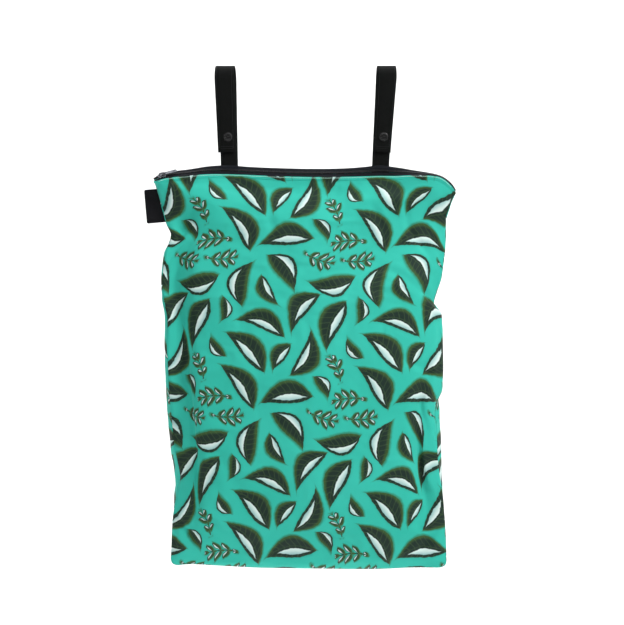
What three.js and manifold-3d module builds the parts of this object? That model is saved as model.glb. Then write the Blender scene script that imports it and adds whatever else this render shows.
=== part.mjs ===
// A hanging zip-top cloth bag, lightly filled: two printed cloth panels sewn together at the
// sides and the bottom, a coil zipper along the top, and two strap loops closed by press snaps.
// Millimetres, +Z up, the front faces -Y. The origin lies on the line that the two loops hang
// from, midway between them.

import * as THREE from 'three';
import { mergeVertices } from 'three/addons/utils/BufferGeometryUtils.js';
import Module from 'manifold-3d';

const wasm = await Module();
wasm.setup();

// The clearance between pieces that touch on the real bag
const GAP = 0.3;

// How far joined metal blocks run into each other
const MERGE = 0.5;

// The bag, as it hangs filled
const BAG_WIDTH = 392;
const BAG_HEIGHT = 565;
const BAG_OFFSET = -3;
const FRONT_DEPTH = 44;
const BACK_DEPTH = 40;
const CLOTH = 1.2;
const PUCKER_DEPTH = 2.4;

// The zipper: the width of the band that shows, and how steeply it faces the front
const ZIP_WIDTH = 17;
const ZIP_TILT = 50;
const TAPE = 0.9;
const HEM = 8;
const COIL_WIDTH = 5;
const COIL_RISE = 1.3;
const COIL_DROP = 0.8;
const TAPE_LEAST = 0.5;

// The straps
const STRAP_DROP = 125.5;
const STRAP_THICKNESS = 1.8;
const STRAP_TOP_WIDTH = 26.5;
const STRAP_BASE_WIDTH = 24;
const LOOP_SPACING = 228;
const LOOP_RADIUS = 13;
const FLAP_DROP = 107;
const SEAM_TUCK = 10;
const SEAM_RISE = 4;
const FLAP_LEAN = 0.4;
const STRAP_EASE = 16;

// The press snaps
const SNAP_DROP = 85.5;
const SNAP_RADIUS = 6.2;
const SNAP_DOME = 1.7;
const SNAP_PLATE_RADIUS = 5;
const POST_RADIUS = 1.5;
const KNOB_RADIUS = 2.2;
const SNAP_STACK = 3.6;
const SNAP_REST = 2;
const SNAP_SIDES = 16;
const SOCKET_RIM = 0.3;
const KNOB_HEIGHT = 0.5;
const POST_REACH = 0.5;

// The slider and its pull tab
const SLIDER_INSET = 12;
const SLIDER_LENGTH = 13;
const SLIDER_WIDTH = 9.5;
const SLIDER_PLATE = 1.3;
const SLIDER_UNDER = 1;
const SLIDER_CORNER = 2.5;
const SLIDER_LIP_GAP = 0.6;
const LIP_WIDTH = 0.8;
const NECK_WIDTH = 2.4;
const NECK_INSET = 0.6;
const BRIDGE_HEIGHT = 2.4;
const BRIDGE_WIDTH = 2.4;
const BRIDGE_SPAN = 7;
const BRIDGE_METAL = 1;
const PULL_LENGTH = 21;
const PULL_WIDTH = 6.6;
const PULL_METAL = 1.2;
const PULL_BAR = 1.4;
const PULL_CORNER = 2.2;
const PULL_CLEARANCE = 0.5;
const WINDOW_SIDE = 0.6;
const WINDOW_CORNER = 0.5;
const PULL_HOLE_RADIUS = 1.5;
const PULL_HOLE_INSET = 4;

// The label in the side seam
const LABEL_HEIGHT = 47.5;
const LABEL_SHOWN = 18;
const LABEL_TUCK = 14;
const LABEL_THICKNESS = 1;
const LABEL_DROP = 34;
const LABEL_TILT = 5;
const LABEL_CORNER = 2.5;
const LABEL_EASE = 9;

// The side edges: down the bag's height, and out from its middle as shares of half its width
const SIDE_ROWS = [
  { down: 0.030, left: 1.073, right: 1.040 },
  { down: 0.057, left: 1.050, right: 1.085 },
  { down: 0.097, left: 1.021, right: 1.057 },
  { down: 0.136, left: 0.989, right: 1.024 },
  { down: 0.176, left: 0.964, right: 1.018 },
  { down: 0.216, left: 0.996, right: 1.011 },
  { down: 0.275, left: 1.018, right: 0.989 },
  { down: 0.335, left: 1.011, right: 0.954 },
  { down: 0.375, left: 0.996, right: 0.986 },
  { down: 0.454, left: 0.996, right: 0.996 },
  { down: 0.553, left: 0.989, right: 0.996 },
  { down: 0.593, left: 0.982, right: 0.979 },
  { down: 0.692, left: 0.961, right: 0.989 },
  { down: 0.772, left: 0.934, right: 0.993 },
  { down: 0.851, left: 0.936, right: 1.004 },
  { down: 0.931, left: 0.943, right: 1.018 },
  { down: 1.000, left: 0.955, right: 1.025 },
];

// The zipper band: how far its upper edge sags, as a share of the bag's height, how much of
// its height it shows, and how much of its width is left where it is folded into the side seams
const ZIP_ROWS = [
  { across: 0.000, sag: 0.0325, shows: 0.34, spread: 0.50 },
  { across: 0.010, sag: 0.0270, shows: 0.62, spread: 0.98 },
  { across: 0.022, sag: 0.0225, shows: 0.68, spread: 1.00 },
  { across: 0.051, sag: 0.0161, shows: 0.75, spread: 1.00 },
  { across: 0.118, sag: 0.0099, shows: 0.78, spread: 1.00 },
  { across: 0.184, sag: 0.0022, shows: 0.95, spread: 1.00 },
  { across: 0.251, sag: 0.0000, shows: 1.05, spread: 1.00 },
  { across: 0.317, sag: 0.0037, shows: 0.97, spread: 1.00 },
  { across: 0.417, sag: 0.0069, shows: 0.97, spread: 1.00 },
  { across: 0.533, sag: 0.0087, shows: 0.97, spread: 1.00 },
  { across: 0.632, sag: 0.0074, shows: 1.00, spread: 1.00 },
  { across: 0.699, sag: 0.0037, shows: 1.10, spread: 1.00 },
  { across: 0.748, sag: 0.0000, shows: 1.20, spread: 1.00 },
  { across: 0.798, sag: 0.0042, shows: 1.05, spread: 1.00 },
  { across: 0.865, sag: 0.0126, shows: 0.62, spread: 1.00 },
  { across: 0.914, sag: 0.0186, shows: 0.43, spread: 1.00 },
  { across: 0.948, sag: 0.0248, shows: 0.34, spread: 0.95 },
  { across: 0.974, sag: 0.0360, shows: 0.38, spread: 0.72 },
  { across: 0.992, sag: 0.0500, shows: 0.40, spread: 0.50 },
  { across: 1.000, sag: 0.0600, shows: 0.40, spread: 0.44 },
];

// The bottom seam: how far it is drawn up, as a share of the bag's height
const BOTTOM_ROWS = [
  { across: 0.00, rise: 0.0060 },
  { across: 0.07, rise: 0.0110 },
  { across: 0.16, rise: 0.0090 },
  { across: 0.32, rise: 0.0045 },
  { across: 0.55, rise: 0.0025 },
  { across: 0.74, rise: 0.0000 },
  { across: 0.87, rise: 0.0022 },
  { across: 1.00, rise: 0.0000 },
];

// How full the bag is down its height, as shares of the front's and the back's depth
const FILL_ROWS = [
  { down: 0.00, front: 0.00, back: 0.00 },
  { down: 0.05, front: 0.12, back: 0.20 },
  { down: 0.12, front: 0.30, back: 0.40 },
  { down: 0.25, front: 0.60, back: 0.66 },
  { down: 0.40, front: 0.84, back: 0.86 },
  { down: 0.55, front: 0.97, back: 0.97 },
  { down: 0.68, front: 1.00, back: 1.00 },
  { down: 0.80, front: 0.94, back: 0.94 },
  { down: 0.89, front: 0.78, back: 0.79 },
  { down: 0.95, front: 0.54, back: 0.56 },
  { down: 0.98, front: 0.32, back: 0.34 },
  { down: 1.00, front: 0.00, back: 0.00 },
];

// Folds and dents: the middle as shares of width and height, the half length as a share of
// the height, the half width as a share of the width, the lean from upright in degrees, and
// the depth as a share of the panel's depth
const FRONT_FOLDS = [
  { across: 0.035, down: 0.150, long: 0.070, wide: 0.028, lean: -38, deep: 0.12 },
  { across: 0.070, down: 0.560, long: 0.260, wide: 0.020, lean: 2, deep: 0.07 },
  { across: 0.055, down: 0.910, long: 0.050, wide: 0.022, lean: 40, deep: 0.10 },
  { across: 0.965, down: 0.300, long: 0.045, wide: 0.035, lean: 70, deep: 0.10 },
  { across: 0.955, down: 0.600, long: 0.045, wide: 0.025, lean: 20, deep: 0.08 },
  { across: 0.940, down: 0.760, long: 0.080, wide: 0.022, lean: 3, deep: 0.09 },
  { across: 0.950, down: 0.920, long: 0.050, wide: 0.022, lean: -42, deep: 0.09 },
  { across: 0.300, down: 0.065, long: 0.040, wide: 0.110, lean: 0, deep: 0.06 },
  { across: 0.640, down: 0.070, long: 0.045, wide: 0.130, lean: 0, deep: 0.05 },
];

const BACK_FOLDS = [
  { across: 0.040, down: 0.150, long: 0.070, wide: 0.028, lean: -36, deep: 0.12 },
  { across: 0.060, down: 0.900, long: 0.055, wide: 0.022, lean: 38, deep: 0.10 },
  { across: 0.965, down: 0.290, long: 0.050, wide: 0.035, lean: 66, deep: 0.10 },
  { across: 0.950, down: 0.910, long: 0.055, wide: 0.022, lean: -40, deep: 0.09 },
  { across: 0.260, down: 0.080, long: 0.070, wide: 0.050, lean: 8, deep: 0.07 },
  { across: 0.735, down: 0.080, long: 0.070, wide: 0.050, lean: -8, deep: 0.07 },
];

// The straps: the middle line at the seam, where it rises behind, where it comes over, at the
// flap's end and at the snap, as shares of half the loop spacing
const STRAP_ROWS = [
  { name: 'left', side: -1, base: 0.935, rise: 0.970, over: 1.000, flap: 0.968, snap: 0.952 },
  { name: 'right', side: 1, base: 0.919, rise: 0.982, over: 1.000, flap: 0.936, snap: 0.958 },
];

// The grid of the panels, and the rows where each panel's wall is parted
const COLUMNS_ACROSS = 22;
const ROWS_DOWN = 34;
const PARTED_AT = [0, 11, 21, ROWS_DOWN];
const PUCKERS_DOWN = 11;
const PUCKERS_ACROSS = 8;

const TOP_Z = -STRAP_DROP;
const SEAM_ROOM = CLOTH / 2 + GAP / 2;
const TAPE_LEAD = STRAP_THICKNESS / 2 + GAP + TAPE / 2;
const ZIP_END = 0.985;
const SLIDER_AT = SLIDER_INSET / BAG_WIDTH;
const SLIDER_FROM = (SLIDER_INSET - SLIDER_LENGTH / 2) / BAG_WIDTH;
const SLIDER_TO = (SLIDER_INSET + SLIDER_LENGTH / 2) / BAG_WIDTH;
const COIL_START = (SLIDER_INSET - SLIDER_LENGTH / 4) / BAG_WIDTH;

const colours = {
  print: 0x3bb39f,
  webbing: 0x161717,
  tape: 0x1c1c20,
  coil: 0x202024,
  metal: 0x2b2b30,
  snap: 0x121314,
  label: 0x202024,
};

function material(colour, roughness, metalness) {
  return new THREE.MeshStandardMaterial({ color: colour, roughness, metalness });
}

function mix(from, to, share) {
  return from + (to - from) * share;
}

function smooth(value) {
  const share = Math.min(Math.max(value, 0), 1);
  return share * share * (3 - 2 * share);
}

// 1 between low and high, easing to 0 outside them
function plateau(value, low, high, ease) {
  return smooth((value - low) / ease + 1) * smooth((high - value) / ease + 1);
}

// Reads a column of a table at a place along its key, on a smooth curve through the rows
function read(rows, key, at, column) {
  const last = rows.length - 1;
  let i = 0;
  while (i < last - 1 && at > rows[i + 1][key]) i += 1;
  const slope = (a, b) => (rows[b][column] - rows[a][column]) / (rows[b][key] - rows[a][key]);
  const span = rows[i + 1][key] - rows[i][key];
  const share = Math.min(Math.max((at - rows[i][key]) / span, 0), 1);
  const leave = slope(Math.max(i - 1, 0), i + 1) * span;
  const arrive = slope(i, Math.min(i + 2, last)) * span;
  const s2 = share * share;
  const s3 = s2 * share;
  return (
    rows[i][column] * (2 * s3 - 3 * s2 + 1) +
    leave * (s3 - 2 * s2 + share) +
    rows[i + 1][column] * (3 * s2 - 2 * s3) +
    arrive * (s3 - s2)
  );
}

function sideX(side, z) {
  const down = (TOP_Z - z) / BAG_HEIGHT;
  const column = side < 0 ? 'left' : 'right';
  return BAG_OFFSET + (side * BAG_WIDTH * read(SIDE_ROWS, 'down', down, column)) / 2;
}

// The zipper band at a share of the way across: its heights and how far it comes forward
function band(across) {
  const width = ZIP_WIDTH * read(ZIP_ROWS, 'across', across, 'spread');
  const tall = ZIP_WIDTH * Math.sin(THREE.MathUtils.degToRad(ZIP_TILT));
  const height = Math.min(tall * read(ZIP_ROWS, 'across', across, 'shows'), 0.98 * width);
  const back = TOP_Z - BAG_HEIGHT * read(ZIP_ROWS, 'across', across, 'sag');
  return { back, front: back - height, forward: Math.sqrt(width * width - height * height) };
}

function topPoint(edge, across) {
  const left = sideX(-1, band(0)[edge]);
  const right = sideX(1, band(1)[edge]);
  return new THREE.Vector2(mix(left, right, across), band(across)[edge]);
}

function bottomPoint(across) {
  const z = TOP_Z - BAG_HEIGHT * (1 - read(BOTTOM_ROWS, 'across', across, 'rise'));
  return new THREE.Vector2(mix(sideX(-1, z), sideX(1, z), across), z);
}

function sidePoint(edge, side, down) {
  const across = side < 0 ? 0 : 1;
  const z = mix(topPoint(edge, across).y, bottomPoint(across).y, down);
  return new THREE.Vector2(sideX(side, z), z);
}

// A panel's place in the front view: a patch that fills its four edges
function outline(edge, across, down) {
  const blend = (key) =>
    mix(topPoint(edge, across)[key], bottomPoint(across)[key], down) +
    mix(sidePoint(edge, -1, down)[key], sidePoint(edge, 1, down)[key], across) -
    mix(
      mix(topPoint(edge, 0)[key], topPoint(edge, 1)[key], across),
      mix(bottomPoint(0)[key], bottomPoint(1)[key], across),
      down,
    );
  return { x: blend('x'), z: blend('y') };
}

// The round of a filled panel from seam to seam
function round(across) {
  return Math.pow(1 - Math.pow(Math.abs(2 * across - 1), 2.5), 0.62);
}

function folded(rows, across, down) {
  let depth = 0;
  for (const row of rows) {
    const lean = THREE.MathUtils.degToRad(row.lean);
    const x = (across - row.across) * BAG_WIDTH;
    const z = (down - row.down) * BAG_HEIGHT;
    const along = (z * Math.cos(lean) + x * Math.sin(lean)) / (row.long * BAG_HEIGHT);
    const aside = (x * Math.cos(lean) - z * Math.sin(lean)) / (row.wide * BAG_WIDTH);
    depth += row.deep * Math.exp(-along * along - aside * aside);
  }
  return depth;
}

// A swell less the depth of its folds, which never reach through it
function dented(swell, dents) {
  return swell > 0 ? (swell * swell) / (swell + dents) : 0;
}

// Gathers that run in from the side seams and up from the bottom seam
function puckered(across, down) {
  const fromSide = Math.min(across, 1 - across);
  const fromBottom = 1 - down;
  const sides = smooth(fromSide / 0.02) * Math.exp(-fromSide / 0.05);
  const bottom = smooth(fromBottom / 0.015) * Math.exp(-fromBottom / 0.04);
  const turn = 2 * Math.PI;
  return (
    sides * smooth(down / 0.15) * Math.cos(turn * (down * PUCKERS_DOWN + 0.3 * across)) +
    bottom * Math.cos(turn * across * PUCKERS_ACROSS)
  );
}

// Half the space between the panels at the side seams, wider where the label is sewn in
function seamRoom(across, z) {
  const beside = plateau(z, labelTop() - LABEL_HEIGHT, labelTop(), LABEL_EASE);
  const room = LABEL_THICKNESS / 2 + GAP;
  return SEAM_ROOM + room * beside * (1 - smooth(across / 0.09));
}

function labelTop() {
  return TOP_Z - LABEL_DROP;
}

function frontPoint(across, down) {
  const { x, z } = outline('front', across, down);
  const near = mix(0.05, 0.25, round(across));
  const zip = (TAPE_LEAD + band(across).forward) * (1 - smooth(down / near));
  const swell = round(across) * read(FILL_ROWS, 'down', down, 'front');
  const filled = FRONT_DEPTH * dented(swell, folded(FRONT_FOLDS, across, down));
  const gathers = PUCKER_DEPTH * puckered(across, down) * smooth(swell / 0.25);
  return new THREE.Vector3(x, -(seamRoom(across, z) + zip + filled + gathers), z);
}

function backPoint(across, down) {
  const { x, z } = outline('back', across, down);
  let strap = 0;
  for (const row of STRAP_ROWS) {
    const middle = (row.side * row.base * LOOP_SPACING) / 2;
    const half = STRAP_BASE_WIDTH / 2 + GAP;
    strap = Math.max(strap, plateau(x, middle - half, middle + half, STRAP_EASE));
  }
  const closed = -TAPE_LEAD + TAPE / 2 + GAP + CLOTH / 2;
  const opened = STRAP_THICKNESS / 2 + GAP + CLOTH / 2;
  const inside = smooth(Math.min(across, 1 - across) / 0.08) * (1 - smooth(down / 0.06));
  const swell = round(across) * read(FILL_ROWS, 'down', down, 'back');
  const filled = BACK_DEPTH * dented(swell, folded(BACK_FOLDS, across, down));
  const gathers = PUCKER_DEPTH * puckered(across, down) * smooth(swell / 0.25);
  const room = mix(seamRoom(across, z), mix(closed, opened, strap), inside);
  return new THREE.Vector3(x, room + filled + gathers, z);
}

// Places from 0 to 1, drawn together at both ends, with extra places put in
function spaced(count, extra) {
  const places = [...extra];
  for (let i = 0; i <= count; i += 1) {
    const even = i / count;
    const place = mix(even, 0.5 - 0.5 * Math.cos(Math.PI * even), 0.5);
    if (extra.every((other) => Math.abs(other - place) > 0.008)) places.push(place);
  }
  return places.sort((a, b) => a - b);
}

const ACROSS = spaced(COLUMNS_ACROSS, [SLIDER_FROM, COIL_START, SLIDER_AT, SLIDER_TO, ZIP_END]);
const DOWN = spaced(ROWS_DOWN, []);

function normalsOf(grid) {
  const clamp = (i, length) => Math.min(Math.max(i, 0), length - 1);
  return grid.map((line, i) =>
    line.map((_, j) => {
      const right = grid[clamp(i + 1, grid.length)][j].clone();
      const below = line[clamp(j + 1, line.length)].clone();
      right.sub(grid[clamp(i - 1, grid.length)][j]);
      below.sub(line[clamp(j - 1, line.length)]);
      return right.cross(below).normalize();
    }),
  );
}

function gridOf(point) {
  return ACROSS.map((across) => DOWN.map((down) => point(across, down)));
}

const FRONT_GRID = gridOf(frontPoint);
const FRONT_NORMALS = normalsOf(FRONT_GRID);

// A closed wall of even thickness about a grid of middle points
function wall(grid, thickness, normals = normalsOf(grid)) {
  const columns = grid.length;
  const rows = grid[0].length;
  const points = [];
  for (const half of [thickness / 2, -thickness / 2]) {
    for (let i = 0; i < columns; i += 1) {
      for (let j = 0; j < rows; j += 1) {
        points.push(grid[i][j].clone().addScaledVector(normals[i][j], half));
      }
    }
  }
  const outer = (i, j) => i * rows + j;
  const inner = (i, j) => columns * rows + i * rows + j;
  const faces = [];
  for (let i = 0; i + 1 < columns; i += 1) {
    for (let j = 0; j + 1 < rows; j += 1) {
      faces.push([outer(i, j), outer(i + 1, j), outer(i + 1, j + 1), outer(i, j + 1)]);
      faces.push([inner(i, j), inner(i, j + 1), inner(i + 1, j + 1), inner(i + 1, j)]);
    }
  }
  for (let i = 0; i + 1 < columns; i += 1) {
    const j = rows - 1;
    faces.push([outer(i + 1, 0), outer(i, 0), inner(i, 0), inner(i + 1, 0)]);
    faces.push([outer(i, j), outer(i + 1, j), inner(i + 1, j), inner(i, j)]);
  }
  for (let j = 0; j + 1 < rows; j += 1) {
    const i = columns - 1;
    faces.push([outer(0, j), outer(0, j + 1), inner(0, j + 1), inner(0, j)]);
    faces.push([outer(i, j + 1), outer(i, j), inner(i, j), inner(i, j + 1)]);
  }
  return quads(points, faces);
}

// A closed solid lofted through rings of equal length, with flat ends
function loft(rings) {
  const sides = rings[0].length;
  const points = rings.flat();
  const faces = [];
  for (let k = 0; k + 1 < rings.length; k += 1) {
    for (let i = 0; i < sides; i += 1) {
      const next = (i + 1) % sides;
      const here = k * sides;
      faces.push([here + i, here + next, here + sides + next, here + sides + i]);
    }
  }
  const last = (rings.length - 1) * sides;
  for (let i = 1; i + 1 < sides; i += 1) {
    faces.push([0, i + 1, i]);
    faces.push([last, last + i, last + i + 1]);
  }
  return quads(points, faces);
}

function quads(points, faces) {
  const index = [];
  for (const face of faces) {
    for (let i = 1; i + 1 < face.length; i += 1) index.push(face[0], face[i], face[i + 1]);
  }
  const geometry = new THREE.BufferGeometry().setFromPoints(points);
  geometry.setIndex(index);
  return outward(geometry);
}

// The same mesh with its faces turned out, whichever way its corners were listed
function outward(geometry) {
  const position = geometry.attributes.position;
  const index = [...geometry.index.array];
  const corner = (i) => new THREE.Vector3().fromBufferAttribute(position, index[i]);
  let volume = 0;
  for (let i = 0; i < index.length; i += 3) {
    volume += corner(i).dot(corner(i + 1).cross(corner(i + 2)));
  }
  if (volume < 0) geometry.setIndex(index.reverse());
  return geometry;
}

// Shared corners merged and faces without area dropped, so that the mesh is one closed skin
function closed(geometry) {
  const bare = geometry.clone();
  for (const name of Object.keys(bare.attributes)) {
    if (name !== 'position') bare.deleteAttribute(name);
  }
  const merged = mergeVertices(bare, 1e-4);
  const index = [...merged.index.array];
  const kept = [];
  for (let i = 0; i < index.length; i += 3) {
    const [a, b, c] = index.slice(i, i + 3);
    if (a !== b && b !== c && c !== a) kept.push(a, b, c);
  }
  merged.setIndex(kept);
  return merged;
}

function solid(geometry) {
  const mesh = closed(geometry);
  const made = new wasm.Manifold(
    new wasm.Mesh({
      numProp: 3,
      vertProperties: new Float32Array(mesh.attributes.position.array),
      triVerts: new Uint32Array(mesh.index.array),
    }),
  );
  return made;
}

function geometryOf(made) {
  const mesh = made.getMesh();
  const geometry = new THREE.BufferGeometry();
  geometry.setAttribute('position', new THREE.BufferAttribute(mesh.vertProperties, 3));
  geometry.setIndex(new THREE.BufferAttribute(mesh.triVerts, 1));
  return geometry;
}

function placed(geometry, x, y, z) {
  return geometry.clone().translate(x, y, z);
}

function node(name, geometry, finish) {
  const mesh = new THREE.Mesh(geometry, finish);
  mesh.name = name;
  return mesh;
}

// A panel's wall in three pieces, one below another and a clearance apart
function panel(name, grid) {
  const normals = normalsOf(grid);
  return ['top', 'middle', 'bottom'].map((place, k) => {
    const from = PARTED_AT[k];
    const end = PARTED_AT[k + 1] + 1;
    const part = grid.map((line) => {
      const points = line.slice(from, end);
      if (from > 0) {
        const down = points[1].clone().sub(points[0]).normalize();
        points[0] = points[0].clone().addScaledVector(down, GAP);
      }
      return points;
    });
    const solid = wall(part, CLOTH, normals.map((line) => line.slice(from, end)));
    return node(`${name}_${place}`, solid, material(colours.print, 0.75, 0));
  });
}

function panels() {
  return [...panel('front_panel', FRONT_GRID), ...panel('back_panel', gridOf(backPoint))];
}

// The line behind the front panel where the lower tape is sewn, at one column of the grid:
// a clearance in from the panel's wall, and down to the end of the hem
function hemLine(column) {
  const inset = (CLOTH + TAPE) / 2 + GAP;
  const end = HEM / BAG_HEIGHT;
  const rows = DOWN.filter((down) => down < end).length;
  const share = (end - DOWN[rows - 1]) / (DOWN[rows] - DOWN[rows - 1]);
  const behind = (row) =>
    FRONT_GRID[column][row].clone().addScaledVector(FRONT_NORMALS[column][row], inset);
  const line = [];
  for (let row = 0; row < rows; row += 1) line.push(behind(row));
  return [...line, behind(rows - 1).lerp(behind(rows), share)];
}

// The zipper's cross-section at one column: its upper edge, the hem line that it reaches, the
// way over the band and the way out of it
function section(column) {
  const across = ACROSS[column];
  const hem = hemLine(column);
  const upper = new THREE.Vector3(topPoint('back', across).x, -TAPE_LEAD, band(across).back);
  const over = hem[0].clone().sub(upper);
  const width = over.length();
  over.normalize();
  const out = new THREE.Vector3(0, over.z, -over.y).normalize();
  return { upper, hem, over, out, width, middle: upper.clone().addScaledVector(over, width / 2) };
}

function zipper() {
  const half = COIL_WIDTH / 2;
  const sections = ACROSS.map((_, column) => section(column));
  const beside = (width) => Math.max(width / 2 - half - GAP, TAPE_LEAST);
  const upperTape = sections.map(({ upper, over, width }) => [
    upper,
    upper.clone().addScaledVector(over, beside(width)),
  ]);
  const lowerTape = sections.map(({ hem, over, width }) => [
    hem[0].clone().addScaledVector(over, -beside(width)),
    ...hem,
  ]);
  const coilRings = [];
  sections.forEach(({ over, out, middle }, column) => {
    if (ACROSS[column] < COIL_START || ACROSS[column] > ZIP_END) return;
    const at = (aside, up) =>
      middle.clone().addScaledVector(over, aside).addScaledVector(out, up);
    coilRings.push([
      at(-half, -COIL_DROP),
      at(-half, COIL_RISE / 2),
      at(-half / 2, COIL_RISE),
      at(half / 2, COIL_RISE),
      at(half, COIL_RISE / 2),
      at(half, -COIL_DROP),
    ]);
  });
  return [
    node('zipper_tape_upper', wall(upperTape, TAPE), material(colours.tape, 0.8, 0)),
    node('zipper_tape_lower', wall(lowerTape, TAPE), material(colours.tape, 0.8, 0)),
    node('zipper_coil', loft(coilRings), material(colours.coil, 0.5, 0)),
  ];
}

function roundedShape(left, right, half, radius) {
  const r = Math.min(radius, half, (right - left) / 2);
  const shape = new THREE.Shape();
  shape.moveTo(left + r, -half);
  shape.lineTo(right - r, -half);
  shape.absarc(right - r, -half + r, r, -Math.PI / 2, 0, false);
  shape.absarc(right - r, half - r, r, 0, Math.PI / 2, false);
  shape.absarc(left + r, half - r, r, Math.PI / 2, Math.PI, false);
  shape.absarc(left + r, -half + r, r, Math.PI, 1.5 * Math.PI, false);
  return shape;
}

function plate(shape, low, high) {
  const made = new THREE.ExtrudeGeometry(shape, {
    depth: high - low,
    bevelEnabled: false,
    curveSegments: 4,
  });
  return made.translate(0, 0, low);
}

function block(from, to) {
  const size = to.map((value, i) => value - from[i]);
  const box = new THREE.BoxGeometry(...size);
  return placed(box, ...from.map((value, i) => value + size[i] / 2));
}

// The slider in its own frame: X along the coil, Z out of the band, 0 in the tape's middle
const PLATE_LOW = COIL_RISE + GAP;
const PLATE_HIGH = PLATE_LOW + SLIDER_PLATE;
const PIVOT_HEIGHT = PLATE_HIGH + BRIDGE_HEIGHT / 2;

function sliderSolid() {
  const half = SLIDER_WIDTH / 2;
  const end = SLIDER_LENGTH / 2;
  const lip = TAPE / 2 + SLIDER_LIP_GAP;
  const under = -COIL_DROP - GAP;
  const foot = BRIDGE_SPAN / 2;
  const side = BRIDGE_WIDTH / 2;
  const top = PLATE_HIGH + BRIDGE_HEIGHT;
  const high = top + BRIDGE_METAL;
  const neck = [-end + NECK_INSET, -SLIDER_LENGTH / 4 - COIL_WIDTH / 4 - GAP];
  const neckSide = NECK_WIDTH / 2;
  const pieces = [
    plate(roundedShape(-end, end, half, SLIDER_CORNER), PLATE_LOW, PLATE_HIGH),
    plate(roundedShape(-end, end, half, SLIDER_CORNER), under - SLIDER_UNDER, under),
    block([neck[0], -neckSide, under - MERGE], [neck[1], neckSide, PLATE_LOW + MERGE]),
    block([-foot - BRIDGE_METAL, -side, PLATE_HIGH - MERGE], [-foot, side, high]),
    block([foot, -side, PLATE_HIGH - MERGE], [foot + BRIDGE_METAL, side, high]),
    block([-foot - BRIDGE_METAL, -side, top], [foot + BRIDGE_METAL, side, high]),
  ];
  for (const y of [-1, 1]) {
    const [near, far] = [y * half, y * (half - LIP_WIDTH)].sort((a, b) => a - b);
    const straight = end - SLIDER_CORNER;
    pieces.push(block([-straight, near, lip], [straight, far, PLATE_LOW + MERGE]));
    pieces.push(block([-straight, near, under - MERGE], [straight, far, -lip]));
  }
  return pieces.map(solid).reduce((whole, piece) => whole.add(piece));
}

// The pull tab in the slider's frame: a bar under the bridge, a window that clears the
// bridge's whole turn, and a tab with a hole
function pullSolid() {
  const half = PULL_WIDTH / 2;
  const reach = Math.hypot(BRIDGE_SPAN / 2 + BRIDGE_METAL, BRIDGE_HEIGHT / 2 + BRIDGE_METAL);
  const window = reach + PULL_CLEARANCE;
  const low = PIVOT_HEIGHT - PULL_METAL / 2;
  const high = PIVOT_HEIGHT + PULL_METAL / 2;
  const tab = solid(plate(roundedShape(-PULL_BAR / 2, PULL_LENGTH, half, PULL_CORNER), low, high));
  const opening = roundedShape(PULL_BAR / 2, window, BRIDGE_WIDTH / 2 + WINDOW_SIDE, WINDOW_CORNER);
  const hole = new THREE.Shape();
  hole.absarc(PULL_LENGTH - PULL_HOLE_INSET, 0, PULL_HOLE_RADIUS, 0, 2 * Math.PI, false);
  return tab
    .subtract(solid(plate(opening, low - PULL_METAL, high + PULL_METAL)))
    .subtract(solid(plate(hole, low - PULL_METAL, high + PULL_METAL)));
}

// The slider's frame on the band
function sliderFrame() {
  const here = section(ACROSS.indexOf(SLIDER_AT));
  const next = section(ACROSS.indexOf(SLIDER_TO));
  const along = next.middle.clone().sub(here.middle).normalize();
  const out = here.out.clone().addScaledVector(along, -here.out.dot(along)).normalize();
  const aside = out.clone().cross(along);
  return new THREE.Matrix4().makeBasis(along, aside, out).setPosition(here.middle);
}

function slider() {
  const metal = () => material(colours.metal, 0.35, 0.8);
  const group = new THREE.Group();
  group.applyMatrix4(sliderFrame());
  group.add(node('slider_body', geometryOf(sliderSolid()), metal()));
  group.add(node('pull_tab', geometryOf(pullSolid()), metal()));
  return [group];
}

// A strap's middle line seen from the side, from its end in the seam up behind, over the top
// and down in front to the flap's end, with its middle across and its width
function strapLine(row) {
  const radius = LOOP_RADIUS + STRAP_THICKNESS / 2;
  const layer = (SNAP_STACK + STRAP_THICKNESS) / 2;
  const near = SNAP_PLATE_RADIUS + SNAP_REST;
  const slant = Math.atan2(radius - layer, SNAP_DROP - near);
  const halfSpacing = (row.side * LOOP_SPACING) / 2;
  const width = (z) => mix(STRAP_TOP_WIDTH, STRAP_BASE_WIDTH, Math.min(-z / STRAP_DROP, 1));
  const behind = (y, z) => ({
    y,
    z,
    x: halfSpacing * mix(row.rise, row.base, Math.min(-z / STRAP_DROP, 1)),
    width: width(z),
  });
  const before = (y, z) => ({
    y,
    z,
    x: halfSpacing * mix(row.over, row.flap, -z / FLAP_DROP),
    width: width(z),
  });
  const line = [
    behind(0, TOP_Z - SEAM_TUCK),
    behind(0, TOP_Z + SEAM_RISE),
    behind(layer, -SNAP_DROP - near),
    behind(layer, -SNAP_DROP + near),
  ];
  const steps = 12;
  for (let i = 0; i <= steps; i += 1) {
    const angle = mix(-slant, Math.PI + slant, i / steps);
    line.push({
      y: radius * Math.cos(angle),
      z: radius * Math.sin(angle),
      x: halfSpacing * mix(row.rise, row.over, i / steps),
      width: STRAP_TOP_WIDTH,
    });
  }
  line.push(
    before(-layer, -SNAP_DROP + near),
    before(-layer, -SNAP_DROP - near),
    before(-layer + FLAP_LEAN, -FLAP_DROP),
  );
  return line;
}

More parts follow.
